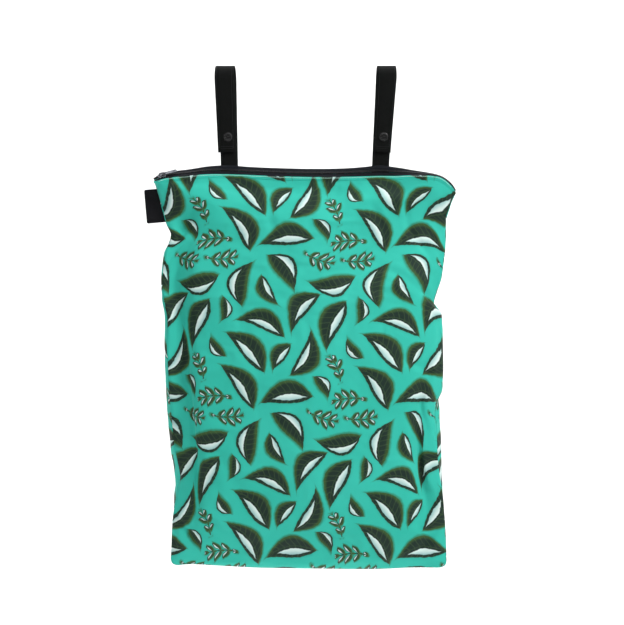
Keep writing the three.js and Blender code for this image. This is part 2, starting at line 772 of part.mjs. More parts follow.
function strapSolid(row) {
  const line = strapLine(row);
  const rings = line.map((point, i) => {
    const before = line[Math.max(i - 1, 0)];
    const after = line[Math.min(i + 1, line.length - 1)];
    const along = new THREE.Vector2(after.y - before.y, after.z - before.z).normalize();
    const corner = (aside, up) =>
      new THREE.Vector3(
        point.x + (aside * point.width) / 2,
        point.y + (up * along.y * STRAP_THICKNESS) / 2,
        point.z - (up * along.x * STRAP_THICKNESS) / 2,
      );
    return [corner(-1, -1), corner(-1, 1), corner(1, 1), corner(1, -1)];
  });
  const through = SNAP_STACK + 4 * STRAP_THICKNESS;
  const bore = POST_RADIUS + GAP;
  const cutter = new THREE.CylinderGeometry(bore, bore, through, SNAP_SIDES);
  const x = (row.side * row.snap * LOOP_SPACING) / 2;
  return solid(loft(rings)).subtract(solid(placed(cutter, x, 0, -SNAP_DROP)));
}

// A piece turned about the Y axis from [radius, y] corners, starting and ending on the axis
function turned(corners) {
  const points = corners.map(([radius, y]) => new THREE.Vector2(radius, y));
  return outward(closed(new THREE.LatheGeometry(points, SNAP_SIDES)));
}

// A snap's four pieces about Y, front first: the two straps lie outside the plates
function snapPieces() {
  const strapIn = SNAP_STACK / 2;
  const strapOut = strapIn + STRAP_THICKNESS;
  const capIn = strapOut + GAP;
  const capOut = capIn + SNAP_DOME;
  const plateOut = strapIn - GAP;
  const postEnd = plateOut - POST_REACH;
  const bore = POST_RADIUS + GAP;
  const cap = [
    [0, capOut],
    [SNAP_RADIUS * 0.45, capOut - SNAP_DOME * 0.07],
    [SNAP_RADIUS * 0.78, capOut - SNAP_DOME * 0.3],
    [SNAP_RADIUS * 0.96, capOut - SNAP_DOME * 0.65],
    [SNAP_RADIUS, capIn],
    [POST_RADIUS, capIn],
    [POST_RADIUS, postEnd],
    [0, postEnd],
  ];
  const socket = [
    [bore, -plateOut],
    [SNAP_PLATE_RADIUS, -plateOut],
    [SNAP_PLATE_RADIUS, SOCKET_RIM - GAP],
    [SNAP_PLATE_RADIUS * 0.8, SOCKET_RIM],
    [KNOB_RADIUS + GAP, SOCKET_RIM],
    [KNOB_RADIUS + GAP, -KNOB_HEIGHT - GAP],
    [bore, -KNOB_HEIGHT - GAP],
    [bore, -plateOut],
  ];
  const stud = [
    [0, postEnd - GAP],
    [bore, postEnd - GAP],
    [bore, plateOut],
    [SNAP_PLATE_RADIUS, plateOut],
    [SNAP_PLATE_RADIUS, SOCKET_RIM + GAP],
    [KNOB_RADIUS, SOCKET_RIM + GAP],
    [KNOB_RADIUS, -KNOB_HEIGHT + GAP],
    [KNOB_RADIUS * 0.82, -KNOB_HEIGHT],
    [0, -KNOB_HEIGHT],
  ];
  const mirrored = cap.map(([radius, y]) => [radius, -y]);
  return { cap_front: mirrored, socket, stud, cap_back: cap };
}

function straps() {
  const made = [];
  for (const row of STRAP_ROWS) {
    const webbing = material(colours.webbing, 0.85, 0);
    made.push(node(`strap_${row.name}`, geometryOf(strapSolid(row)), webbing));
    const x = (row.side * row.snap * LOOP_SPACING) / 2;
    for (const [piece, corners] of Object.entries(snapPieces())) {
      const name = `snap_${piece}_${row.name}`;
      const mesh = node(name, turned(corners), material(colours.snap, 0.25, 0));
      mesh.position.set(x, 0, -SNAP_DROP);
      made.push(mesh);
    }
  }
  return made;
}

function label() {
  const reach = LABEL_SHOWN + LABEL_TUCK;
  const shape = new THREE.Shape();
  const r = LABEL_CORNER;
  shape.moveTo(reach, 0);
  shape.lineTo(r, 0);
  shape.absarc(r, -r, r, Math.PI / 2, Math.PI, false);
  shape.absarc(r, -LABEL_HEIGHT + r, r, Math.PI, 1.5 * Math.PI, false);
  shape.lineTo(reach, -LABEL_HEIGHT);
  const tab = plate(shape, -LABEL_THICKNESS / 2, LABEL_THICKNESS / 2);
  tab.rotateX(Math.PI / 2);
  tab.rotateY(THREE.MathUtils.degToRad(-LABEL_TILT));
  const z = labelTop();
  const x = sideX(-1, z) - LABEL_SHOWN;
  return node('side_label', closed(placed(tab, x, 0, z)), material(colours.label, 0.6, 0));
}

const bag = new THREE.Group();
bag.add(...panels(), ...zipper(), ...slider(), ...straps(), label());

export default bag;
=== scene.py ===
"""A hanging zip-top cloth bag with a leaf print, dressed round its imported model."""

import math

import bpy
import numpy as np
from mathutils import Matrix, Vector


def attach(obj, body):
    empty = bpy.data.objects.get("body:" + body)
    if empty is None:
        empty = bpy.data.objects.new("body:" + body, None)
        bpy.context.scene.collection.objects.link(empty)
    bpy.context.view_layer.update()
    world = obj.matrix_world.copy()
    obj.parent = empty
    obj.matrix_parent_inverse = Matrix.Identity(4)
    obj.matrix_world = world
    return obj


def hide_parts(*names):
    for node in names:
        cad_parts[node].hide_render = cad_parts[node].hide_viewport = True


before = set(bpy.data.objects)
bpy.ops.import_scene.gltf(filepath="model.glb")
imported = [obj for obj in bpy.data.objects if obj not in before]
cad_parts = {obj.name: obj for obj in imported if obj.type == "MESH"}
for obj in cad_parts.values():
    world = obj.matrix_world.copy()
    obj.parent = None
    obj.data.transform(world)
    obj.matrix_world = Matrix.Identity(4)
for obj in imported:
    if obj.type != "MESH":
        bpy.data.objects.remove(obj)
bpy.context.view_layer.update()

MM = 0.001

# Driving sizes, as the model has them
GAP = 0.3 * MM
BAG_WIDTH = 392 * MM
BAG_HEIGHT = 565 * MM
BAG_OFFSET = -3 * MM
FRONT_DEPTH = 44 * MM
BACK_DEPTH = 40 * MM
CLOTH = 1.2 * MM
ZIP_WIDTH = 17 * MM
ZIP_TILT = math.radians(50)
TAPE = 0.9 * MM
COIL_WIDTH = 5 * MM
STRAP_DROP = 125.5 * MM
STRAP_THICKNESS = 1.8 * MM
STRAP_TOP_WIDTH = 26.5 * MM
STRAP_BASE_WIDTH = 24 * MM
LOOP_SPACING = 228 * MM
LOOP_RADIUS = 13 * MM
FLAP_DROP = 107 * MM
SEAM_TUCK = 10 * MM
SNAP_DROP = 85.5 * MM
SNAP_STACK = 3.6 * MM
SNAP_PLATE_RADIUS = 5 * MM
LABEL_DROP = 34 * MM
LABEL_HEIGHT = 47.5 * MM
LABEL_SHOWN = 18 * MM
LABEL_TUCK = 14 * MM
LABEL_THICKNESS = 1 * MM
LABEL_TILT = math.radians(5)
SLIDER_INSET = 12 * MM
SLIDER_LENGTH = 13 * MM
TOP_Z = -STRAP_DROP
TAPE_LEAD = STRAP_THICKNESS / 2 + GAP + TAPE / 2

# The flat cut of each panel, the cloth's thickness, and where the print lies on the cut
FLAT_WIDTH = 424 * MM
FLAT_HEIGHT = 578 * MM
SHOWN_CLOTH = 0.8 * MM
PRINT_TOP = 0.6
BACK_PRINT_SHIFT = 0.063

# The front's folded hem, and each kind of stitch: its pitch, its length and the thread's radius
FOLD_DEPTH = 4.9 * MM
FOLD_THICKNESS = 1.1 * MM
HEM_STITCH = (3.1 * MM, 2.7 * MM, 0.26 * MM)
TAPE_STITCH = (3 * MM, 2.3 * MM, 0.22 * MM)
STRAP_STITCH = (3 * MM, 2.3 * MM, 0.2 * MM)
STITCH_INSET = 2.6 * MM
BAR_DROPS = (4 * MM, 7 * MM)

# The pitches of the knit and of the weaves, along and across
KNIT_PITCH = (0.9 * MM, 1.1 * MM)
TAPE_PITCH = (1.1 * MM, 0.7 * MM)
WEBBING_PITCH = (1.1 * MM, 1.6 * MM)
LABEL_PITCH = (0.6 * MM, 0.9 * MM)
LABEL_CURL = 0.9 * MM

# The coil's turns: one half turn's places across and out, as shares of its reach and its rise
TURN = ((1, -0.1), (0.98, 0.55), (0.55, 0.95), (0, 1), (-0.34, 0.75), (-0.4, 0.25))
TURN_PITCH = 0.75 * MM
TURN_RISE = 0.95 * MM
TURN_LEAN = 0.12 * MM
TURN_RADIUS = 0.33 * MM
COIL_END = 0.985

# The model's own tables. Across and down are shares of the bag's width and height; sides are
# shares of the half width, sag and rise of the height, shows and spread of the zipper band,
# front and back of the full depths, and the straps' places of the half spacing.
SIDES = {
    "down": [0.030, 0.057, 0.097, 0.136, 0.176, 0.216, 0.275, 0.335, 0.375, 0.454, 0.553,
             0.593, 0.692, 0.772, 0.851, 0.931, 1.000],
    "left": [1.073, 1.050, 1.021, 0.989, 0.964, 0.996, 1.018, 1.011, 0.996, 0.996, 0.989,
             0.982, 0.961, 0.934, 0.936, 0.943, 0.955],
    "right": [1.040, 1.085, 1.057, 1.024, 1.018, 1.011, 0.989, 0.954, 0.986, 0.996, 0.996,
              0.979, 0.989, 0.993, 1.004, 1.018, 1.025],
}
ZIP = {
    "across": [0.000, 0.010, 0.022, 0.051, 0.118, 0.184, 0.251, 0.317, 0.417, 0.533, 0.632,
               0.699, 0.748, 0.798, 0.865, 0.914, 0.948, 0.974, 0.992, 1.000],
    "sag": [0.0325, 0.0270, 0.0225, 0.0161, 0.0099, 0.0022, 0.0000, 0.0037, 0.0069, 0.0087,
            0.0074, 0.0037, 0.0000, 0.0042, 0.0126, 0.0186, 0.0248, 0.0360, 0.0500, 0.0600],
    "shows": [0.34, 0.62, 0.68, 0.75, 0.78, 0.95, 1.05, 0.97, 0.97, 0.97, 1.00, 1.10, 1.20,
              1.05, 0.62, 0.43, 0.34, 0.38, 0.40, 0.40],
    "spread": [0.50, 0.98, 1.00, 1.00, 1.00, 1.00, 1.00, 1.00, 1.00, 1.00, 1.00, 1.00, 1.00,
               1.00, 1.00, 1.00, 0.95, 0.72, 0.50, 0.44],
}
BOTTOM = {
    "across": [0.00, 0.07, 0.16, 0.32, 0.55, 0.74, 0.87, 1.00],
    "rise": [0.0060, 0.0110, 0.0090, 0.0045, 0.0025, 0.0000, 0.0022, 0.0000],
}
FILL = {
    "down": [0.00, 0.05, 0.12, 0.25, 0.40, 0.55, 0.68, 0.80, 0.89, 0.95, 0.98, 1.00],
    "front": [0.00, 0.12, 0.30, 0.60, 0.84, 0.97, 1.00, 0.94, 0.78, 0.54, 0.32, 0.00],
    "back": [0.00, 0.20, 0.40, 0.66, 0.86, 0.97, 1.00, 0.94, 0.79, 0.56, 0.34, 0.00],
}
STRAPS = {
    "left": {"side": -1, "base": 0.935, "rise": 0.970, "over": 1.0, "flap": 0.968, "snap": 0.952},
    "right": {"side": 1, "base": 0.919, "rise": 0.982, "over": 1.0, "flap": 0.936, "snap": 0.958},
}


def smooth(value):
    share = np.clip(value, 0, 1)
    return share * share * (3 - 2 * share)


def mix(a, b, share):
    return a + (b - a) * share


def plateau(value, low, high, ease):
    return smooth((value - low) / ease + 1) * smooth((high - value) / ease + 1)


def unit(v):
    return v / np.maximum(np.linalg.norm(v, axis=-1, keepdims=True), 1e-12)


def paired(*values):
    """Arrays spread over each other and stacked, as places on the flat cut."""
    return np.stack(np.broadcast_arrays(*values), -1)


def shares(columns, rows):
    """How far across and how far down each point of a grid is."""
    return np.meshgrid(np.linspace(0, 1, columns), np.linspace(0, 1, rows), indexing="ij")


def off_sides(across, reach):
    return smooth(np.minimum(across, 1 - across) / reach)


def sampled(places, values, at):
    """Rows of values that belong to places, read between them."""
    return np.stack([np.interp(at, places, column) for column in values.T], -1)


def read(table, key, at, column):
    """A column of a table at places along its key, on a smooth curve through the rows."""
    keys, values = np.array(table[key]), np.array(table[column])
    i = np.clip(np.searchsorted(keys, at, side="left") - 1, 0, len(keys) - 2)
    last = len(keys) - 1

    def slope(a, b):
        return (values[b] - values[a]) / (keys[b] - keys[a])

    span = keys[i + 1] - keys[i]
    s = np.clip((at - keys[i]) / span, 0, 1)
    leave = slope(np.maximum(i - 1, 0), i + 1) * span
    arrive = slope(i, np.minimum(i + 2, last)) * span
    s2, s3 = s**2, s**3
    return (
        values[i] * (2 * s3 - 3 * s2 + 1)
        + leave * (s3 - 2 * s2 + s)
        + values[i + 1] * (3 * s2 - 2 * s3)
        + arrive * (s3 - s2)
    )


def side_x(side, z):
    share = read(SIDES, "down", (TOP_Z - z) / BAG_HEIGHT, "left" if side < 0 else "right")
    return BAG_OFFSET + side * BAG_WIDTH / 2 * share


def band(across):
    """The zipper band: heights of its upper and lower edge, and how far it comes forward."""
    width = ZIP_WIDTH * read(ZIP, "across", across, "spread")
    tall = ZIP_WIDTH * math.sin(ZIP_TILT) * read(ZIP, "across", across, "shows")
    height = np.minimum(tall, 0.98 * width)
    back = TOP_Z - BAG_HEIGHT * read(ZIP, "across", across, "sag")
    return {"back": back, "front": back - height, "forward": np.sqrt(width**2 - height**2)}


def top_point(edge, across):
    left = side_x(-1, band(0.0)[edge])
    right = side_x(1, band(1.0)[edge])
    return mix(left, right, across), band(across)[edge]


def bottom_point(across):
    z = TOP_Z - BAG_HEIGHT * (1 - read(BOTTOM, "across", across, "rise"))
    return mix(side_x(-1, z), side_x(1, z), across), z


def side_point(edge, side, down):
    across = 0.0 if side < 0 else 1.0
    z = mix(top_point(edge, across)[1], bottom_point(across)[1], down)
    return side_x(side, z), z


def outline(edge, across, down):
    """A panel's place in the front view: a patch that fills its four edges."""
    place = []
    for k in (0, 1):
        top, bottom = top_point(edge, across)[k], bottom_point(across)[k]
        left, right = side_point(edge, -1, down)[k], side_point(edge, 1, down)[k]
        corners = mix(
            mix(top_point(edge, 0.0)[k], top_point(edge, 1.0)[k], across),
            mix(bottom_point(0.0)[k], bottom_point(1.0)[k], across),
            down,
        )
        place.append(mix(top, bottom, down) + mix(left, right, across) - corners)
    return place


def rounded(across):
    return np.power(np.maximum(1 - np.abs(2 * across - 1) ** 2.5, 0), 0.62)


def seam_room(across, z):
    label_top = TOP_Z - LABEL_DROP
    beside = plateau(z, label_top - LABEL_HEIGHT, label_top, 9 * MM)
    return CLOTH / 2 + GAP / 2 + (LABEL_THICKNESS / 2 + GAP) * beside * (1 - smooth(across / 0.09))


def front_point(across, down):
    x, z = outline("front", across, down)
    near = mix(0.05, 0.25, rounded(across))
    lead = (TAPE_LEAD + band(across)["forward"]) * (1 - smooth(down / near))
    swell = rounded(across) * read(FILL, "down", down, "front")
    return np.stack([x, -(seam_room(across, z) + lead + FRONT_DEPTH * swell), z], -1)


def back_point(across, down):
    x, z = outline("back", across, down)
    strap = 0
    for row in STRAPS.values():
        middle = row["side"] * row["base"] * LOOP_SPACING / 2
        half = STRAP_BASE_WIDTH / 2 + GAP
        strap = np.maximum(strap, plateau(x, middle - half, middle + half, 16 * MM))
    closed = -TAPE_LEAD + TAPE / 2 + GAP + CLOTH / 2
    opened = STRAP_THICKNESS / 2 + GAP + CLOTH / 2
    inside = off_sides(across, 0.08) * (1 - smooth(down / 0.06))
    swell = rounded(across) * read(FILL, "down", down, "back")
    y = mix(seam_room(across, z), mix(closed, opened, strap), inside) + BACK_DEPTH * swell
    return np.stack([x, y, z], -1)


# Meshes


def linked(name, data):
    """A new object in the scene."""
    piece = bpy.data.objects.new(name, data)
    bpy.context.scene.collection.objects.link(piece)
    return piece


def put(name, points, faces, uvs=None, material=None):
    """A smooth mesh object; uvs holds one place on the flat cut for each point."""
    mesh = bpy.data.meshes.new(name)
    points = [tuple(map(float, point)) for point in points]
    mesh.from_pydata(points, [], [tuple(map(int, face)) for face in faces])
    mesh.update()
    if uvs is not None:
        corners = np.zeros(len(mesh.loops), np.int32)
        mesh.loops.foreach_get("vertex_index", corners)
        layer = mesh.uv_layers.new(name="flat")
        layer.data.foreach_set("uv", np.asarray(uvs, np.float32)[corners].ravel())
    mesh.polygons.foreach_set("use_smooth", [True] * len(mesh.polygons))
    if material is not None:
        mesh.materials.append(material)
    return linked(name, mesh)


def grid_faces(columns, rows, turned=False):
    """Quads of a grid of points listed column by column."""
    i, j = np.meshgrid(np.arange(columns - 1), np.arange(rows - 1), indexing="ij")
    a = (i * rows + j).ravel()
    quads = np.stack([a, a + 1, a + rows + 1, a + rows], -1)
    return quads[:, ::-1] if turned else quads


def joined(name, parts, **settings):
    """One mesh object from (points, faces, uvs) parts."""
    points, faces, uvs, first = [], [], [], 0
    for part in parts:
        points.append(np.asarray(part[0], float).reshape(-1, 3))
        faces += [tuple(int(k) + first for k in face) for face in part[1]]
        uvs.append(np.asarray(part[2], float).reshape(-1, 2))
        first += len(points[-1])
    return put(name, np.concatenate(points), faces, np.concatenate(uvs), **settings)


def tube_part(rings, uvs=None):
    """Points and faces of a tube through rings of corners, with closed ends."""
    rings = np.asarray(rings, float)
    count, sides = rings.shape[:2]
    faces = []
    for k in range(count - 1):
        for i in range(sides):
            a, b, n = k * sides, (k + 1) * sides, (i + 1) % sides
            faces.append((a + i, a + n, b + n, b + i))
    faces.append(tuple(range(sides))[::-1])
    faces.append(tuple((count - 1) * sides + i for i in range(sides)))
    if uvs is None:
        uvs = np.stack(np.meshgrid(np.arange(count), np.arange(sides), indexing="ij"), -1) * MM
    return rings.reshape(-1, 3), faces, np.asarray(uvs, float).reshape(-1, 2)


def thickened(piece, thickness, offset=0):
    shell = piece.modifiers.new("thickness", "SOLIDIFY")
    shell.thickness = thickness
    shell.offset = offset
    return piece


def bevelled(piece, width):
    bevel = piece.modifiers.new("edges", "BEVEL")
    bevel.width = width
    bevel.segments = 3
    bevel.limit_method = "ANGLE"
    bevel.angle_limit = 0.6
    piece.modifiers.new("shade", "WEIGHTED_NORMAL").keep_sharp = True
    return piece


# The bag's body: two panels on one grid, sewn at the sides and the bottom
COLUMNS, ROWS = 72, 96
BACK_LIFT = 11 * MM
FRAMES = 34
CLOTH_SETTINGS = {
    "quality": 6, "mass": 0.00001, "air_damping": 1, "tension_stiffness": 12,
    "compression_stiffness": 12, "shear_stiffness": 4, "bending_stiffness": 0.3,
    "tension_damping": 8, "compression_damping": 8, "shear_damping": 8, "bending_damping": 0.6,
    "vertex_group_mass": "held", "use_pressure": True, "uniform_pressure_force": 0,
    "use_pressure_volume": True, "target_volume": 0.0112, "pressure_factor": 22,
}


def body_grid():
    """Places of the closed body, its flat cut, its faces and the panels' index grids."""
    across, down = shares(COLUMNS + 1, ROWS + 1)
    front, back = front_point(across, down), back_point(across, down)
    x = BAG_OFFSET + (across - 0.5) * FLAT_WIDTH
    lift = BACK_LIFT * off_sides(across, 0.06)
    flat_front = np.stack([x, 0 * x, -FLAT_HEIGHT * down], -1)
    flat_back = np.stack([x, 0 * x, mix(lift, -FLAT_HEIGHT, down)], -1)
    count = (COLUMNS + 1) * (ROWS + 1)
    f = np.arange(count).reshape(COLUMNS + 1, ROWS + 1)
    b = f + count
    seam = np.zeros_like(f, bool)
    seam[0, 1:] = seam[-1, 1:] = seam[:, -1] = True
    middle = (front + back) / 2
    front[seam] = middle[seam]
    back[seam] = middle[seam]
    b[seam] = f[seam]
    places = np.concatenate([front.reshape(-1, 3), back.reshape(-1, 3)])
    flat = np.concatenate([flat_front.reshape(-1, 3), flat_back.reshape(-1, 3)])
    faces = []
    for i in range(COLUMNS):
        for j in range(ROWS):
            faces.append((f[i, j], f[i, j + 1], f[i + 1, j + 1], f[i + 1, j]))
            faces.append((b[i, j], b[i + 1, j], b[i + 1, j + 1], b[i, j + 1]))
        faces.append((f[i, 0], f[i + 1, 0], b[i + 1, 0], b[i, 0]))
    faces.append((f[0, 0], b[0, 0], f[0, 1]))
    faces.append((b[-1, 0], f[-1, 0], f[-1, 1]))
    return places, flat, faces, f, b


def filled_body():
    """Fills the sewn body to its volume and returns the places of both panels' grids."""
    places, flat, faces, f, b = body_grid()
    used = np.unique(np.concatenate([f.ravel(), b.ravel()]))
    order = np.zeros(len(places), int)
    order[used] = np.arange(len(used))
    piece = put("body_blank", places[used], [[order[k] for k in face] for face in faces])
    f, b = order[f], order[b]
    piece.shape_key_add(name="Basis")
    cut = piece.shape_key_add(name="cut")
    cut.data.foreach_set("co", flat[used].ravel().astype(np.float32))
    cut.value = 0
    held = piece.vertex_groups.new(name="held")
    held.add([int(k) for k in np.concatenate([f[:, 0], b[:, 0]])], 1.0, "REPLACE")
    cloth = piece.modifiers.new("cloth", "CLOTH")
    for key, value in CLOTH_SETTINGS.items():
        setattr(cloth.settings, key, value)
    cloth.settings.rest_shape_key = cut
    cloth.settings.effector_weights.gravity = 0
    cloth.collision_settings.use_collision = False
    cloth.point_cache.frame_start = 1
    cloth.point_cache.frame_end = FRAMES
    scene = bpy.context.scene
    for number in range(1, FRAMES + 1):
        scene.frame_set(number)
    shown = piece.evaluated_get(bpy.context.evaluated_depsgraph_get())
    done = np.zeros(len(used) * 3, np.float32)
    shown.data.vertices.foreach_get("co", done)
    scene.frame_set(1)
    bpy.data.objects.remove(piece)
    done = done.reshape(-1, 3).astype(float)
    return done[f], done[b]


def finer(grid):
    """The grid with a point put between each two, on a smooth curve through them."""
    for axis in (0, 1):
        g = np.moveaxis(grid, axis, 0)
        before = np.concatenate([2 * g[:1] - g[1:2], g, 2 * g[-1:] - g[-2:-1]])
        between = (9 * (before[1:-2] + before[2:-1]) - before[:-3] - before[3:]) / 16
        out = np.empty((2 * len(g) - 1,) + g.shape[1:])
        out[::2], out[1::2] = g, between
        grid = np.moveaxis(out, 0, axis)
    return grid


def calmed(grid, times):
    """The grid with its finest ripples evened out, its edges held."""
    for _ in range(times):
        even = grid.copy()
        beside = grid[:-2, 1:-1] + grid[2:, 1:-1] + grid[1:-1, :-2] + grid[1:-1, 2:]
        even[1:-1, 1:-1] = (4 * grid[1:-1, 1:-1] + beside) / 8
        grid = even
    return grid


# How far each side seam is rolled to the front, in degrees, down the bag
ROLL = {
    "down": [0.00, 0.08, 0.14, 0.20, 0.30, 0.45, 0.60, 0.74, 0.84, 0.92, 1.00],
    "left": [0, 0, 22, 52, 62, 66, 62, 56, 40, 14, 0],
    "right": [0, 0, 8, 16, 10, 20, 48, 62, 40, 12, 0],
}
ROLL_REACH = 55 * MM
ROLL_RADIUS = 17 * MM


def rolled(grid, name):
    """The grid with one side seam rolled to the front, about a line inside its edge."""
    side = -1 if name == "left" else 1
    z = grid[..., 2]
    down = (TOP_Z - z) / BAG_HEIGHT
    edge = side_x(side, z)
    inward = -side * (grid[..., 0] - edge)
    turn = np.radians(read(ROLL, "down", down, name)) * (1 - smooth(inward / ROLL_REACH))
    x, y = inward - ROLL_RADIUS, grid[..., 1]
    out = grid.copy()
    out[..., 0] = edge - side * (x * np.cos(turn) - y * np.sin(turn) + ROLL_RADIUS)
    out[..., 1] = x * np.sin(turn) + y * np.cos(turn)
    return out


def fitted(front, back):
    """Both grids moved so that the bag's sides and bottom keep to the outline."""
    low, high = TOP_Z - BAG_HEIGHT, TOP_Z - 0.06 * BAG_HEIGHT
    reached = front[:, -1, 2].mean()
    wanted = bottom_point(np.linspace(0, 1, front.shape[0]))[1].mean()
    for grid in (front, back):
        below = np.maximum(high - grid[..., 2], 0) / (high - reached)
        grid[..., 2] += (wanted - reached) * below
    both = np.concatenate([front.reshape(-1, 3), back.reshape(-1, 3)])
    levels = np.linspace(low, TOP_Z, 90)
    shift = {}
    for side in (-1, 1):
        out = []
        for level in levels:
            near = both[np.abs(both[:, 2] - level) < 5 * MM]
            out.append((side * near[:, 0]).max() * side if len(near) else np.nan)
        out = np.array(out)
        known = ~np.isnan(out)
        out = np.interp(levels, levels[known], out[known])
        out = np.convolve(np.pad(out, 2, "edge"), np.ones(5) / 5, "valid")
        shift[side] = side_x(side, levels) - out
    for grid in (front, back):
        z, x = grid[..., 2], grid[..., 0]
        hold = smooth((TOP_Z - z - 0.05 * BAG_HEIGHT) / (0.05 * BAG_HEIGHT))
        share = np.clip((x - BAG_OFFSET) / BAG_WIDTH + 0.5, 0, 1)
        left, right = np.interp(z, levels, shift[-1]), np.interp(z, levels, shift[1])
        grid[..., 0] += hold * mix(left, right, share)
    return front, back


# Folds and dents: in thousandths of the width or the height, the middle across and down, the
# half length and the half width; then the lean from upright in degrees and the depth in
# millimetres
FOLDS = {
    "front": [
        (35, 150, 70, 28, -38, 4.6), (70, 560, 260, 20, 2, 2.4), (55, 910, 50, 22, 40, 3.8),
        (965, 300, 45, 35, 70, 3.6), (955, 600, 45, 25, 20, 3.0), (940, 760, 80, 22, 3, 3.2),
        (950, 920, 50, 22, -42, 3.6), (300, 75, 40, 100, 0, 2.0), (640, 80, 45, 120, 0, 1.8),
        (150, 190, 55, 18, -52, 1.7), (240, 150, 50, 20, -30, 1.4), (120, 290, 60, 20, -64, 1.5),
        (380, 120, 50, 24, 8, 1.2), (520, 100, 45, 22, -6, 1.0), (760, 110, 50, 22, 22, 1.3),
        (860, 100, 45, 18, 12, 1.6), (910, 170, 50, 18, 40, 1.8), (860, 260, 60, 22, 62, 1.5),
        (880, 480, 60, 22, 74, 1.3), (140, 450, 55, 22, -70, 1.2), (300, 420, 110, 34, 14, 1.2),
        (660, 360, 120, 36, -12, 1.2), (480, 620, 130, 40, 6, 1.1), (780, 700, 90, 30, -24, 1.2),
        (200, 740, 90, 30, 26, 1.2), (140, 880, 45, 22, 58, 1.8), (310, 950, 30, 30, 12, 1.5),
        (560, 955, 28, 34, -6, 1.4), (730, 945, 32, 30, -14, 1.6), (870, 880, 45, 22, -56, 1.7),
    ],
    "back": [
        (40, 150, 70, 28, -36, 4.4), (60, 900, 55, 22, 38, 3.6), (965, 290, 50, 35, 66, 3.6),
        (950, 910, 55, 22, -40, 3.4), (260, 80, 70, 50, 8, 2.2), (735, 80, 70, 50, -8, 2.2),
        (140, 260, 60, 20, -60, 1.5), (500, 110, 60, 26, 4, 1.2), (860, 230, 60, 22, 58, 1.6),
        (350, 400, 120, 36, -10, 1.2), (680, 480, 120, 36, 12, 1.2), (220, 700, 90, 30, 24, 1.3),
        (790, 740, 90, 30, -22, 1.3), (400, 950, 30, 32, 8, 1.5), (640, 950, 30, 32, -10, 1.5),
        (150, 890, 45, 22, 56, 1.7),
    ],
}


def creased(grid, name):
    """The grid with its folds pressed in: a furrow with a low ridge on each side."""
    across, down = shares(*grid.shape[:2])
    depth = 0
    for *place_and_size, lean, deep in FOLDS[name]:
        middle, level, long, wide = np.array(place_and_size) / 1000
        x, z = (across - middle) * BAG_WIDTH, (down - level) * BAG_HEIGHT
        c, s = math.cos(math.radians(lean)), math.sin(math.radians(lean))
        length = (z * c + x * s) / (long * BAG_HEIGHT)
        aside = (x * c - z * s) / (wide * BAG_WIDTH)
        furrow = np.exp(-(length**2) - 0.6 * aside**2) * np.cos(np.clip(1.9 * aside, -3, 3))
        depth = depth + deep * MM * furrow
    depth = depth * off_sides(across, 0.03) * smooth(down / 0.05) * smooth((1 - down) / 0.03)
    beside, below = np.gradient(grid, axis=0), np.gradient(grid, axis=1)
    inward = unit(np.cross(beside, below)) * (1 if name == "front" else -1)
    return grid + inward * depth[..., None]


CORNER = 13 * MM


def cornered(grid):
    """The grid with the bag's two bottom corners rounded."""
    out = grid.copy()
    x, z = grid[..., 0], grid[..., 2]
    low = bottom_point(np.clip((x - BAG_OFFSET) / BAG_WIDTH + 0.5, 0, 1))[1]
    for side in (-1, 1):
        a = 1 - side * (side_x(side, z) - x) / CORNER
        b = 1 - (z - low) / CORNER
        near = (a > 0) & (b > 0)
        a, b = np.clip(a, 0, 1), np.clip(b, 0, 1)
        pulled_x = np.where(near, a * (1 - np.sqrt(1 - b * b / 2)), 0) * CORNER
        pulled_z = np.where(near, b * (1 - np.sqrt(1 - a * a / 2)), 0) * CORNER
        out[..., 0] -= side * pulled_x
        out[..., 2] += pulled_z
    return out


def body():
    front, back = filled_body()
    for name in ("left", "right"):
        front, back = rolled(front, name), rolled(back, name)
    front, back = fitted(front, back)
    front, back = finer(calmed(front, 1)), finer(calmed(back, 1))
    return cornered(creased(front, "front")), cornered(creased(back, "back"))


# Materials


class Value:
    """A node's output, which sums and products can be made with."""

    def __init__(self, tree, socket):
        self.tree, self.socket = tree, socket

    def __add__(self, other):
        return self.tree.math("ADD", self, other)

    def __sub__(self, other):
        return self.tree.math("SUBTRACT", self, other)

    def __rsub__(self, other):
        return self.tree.math("SUBTRACT", other, self)

    def __mul__(self, other):
        return self.tree.math("MULTIPLY", self, other)

    def __truediv__(self, other):
        return self.tree.math("DIVIDE", self, other)

    def __abs__(self):
        return self.tree.math("ABSOLUTE", self)


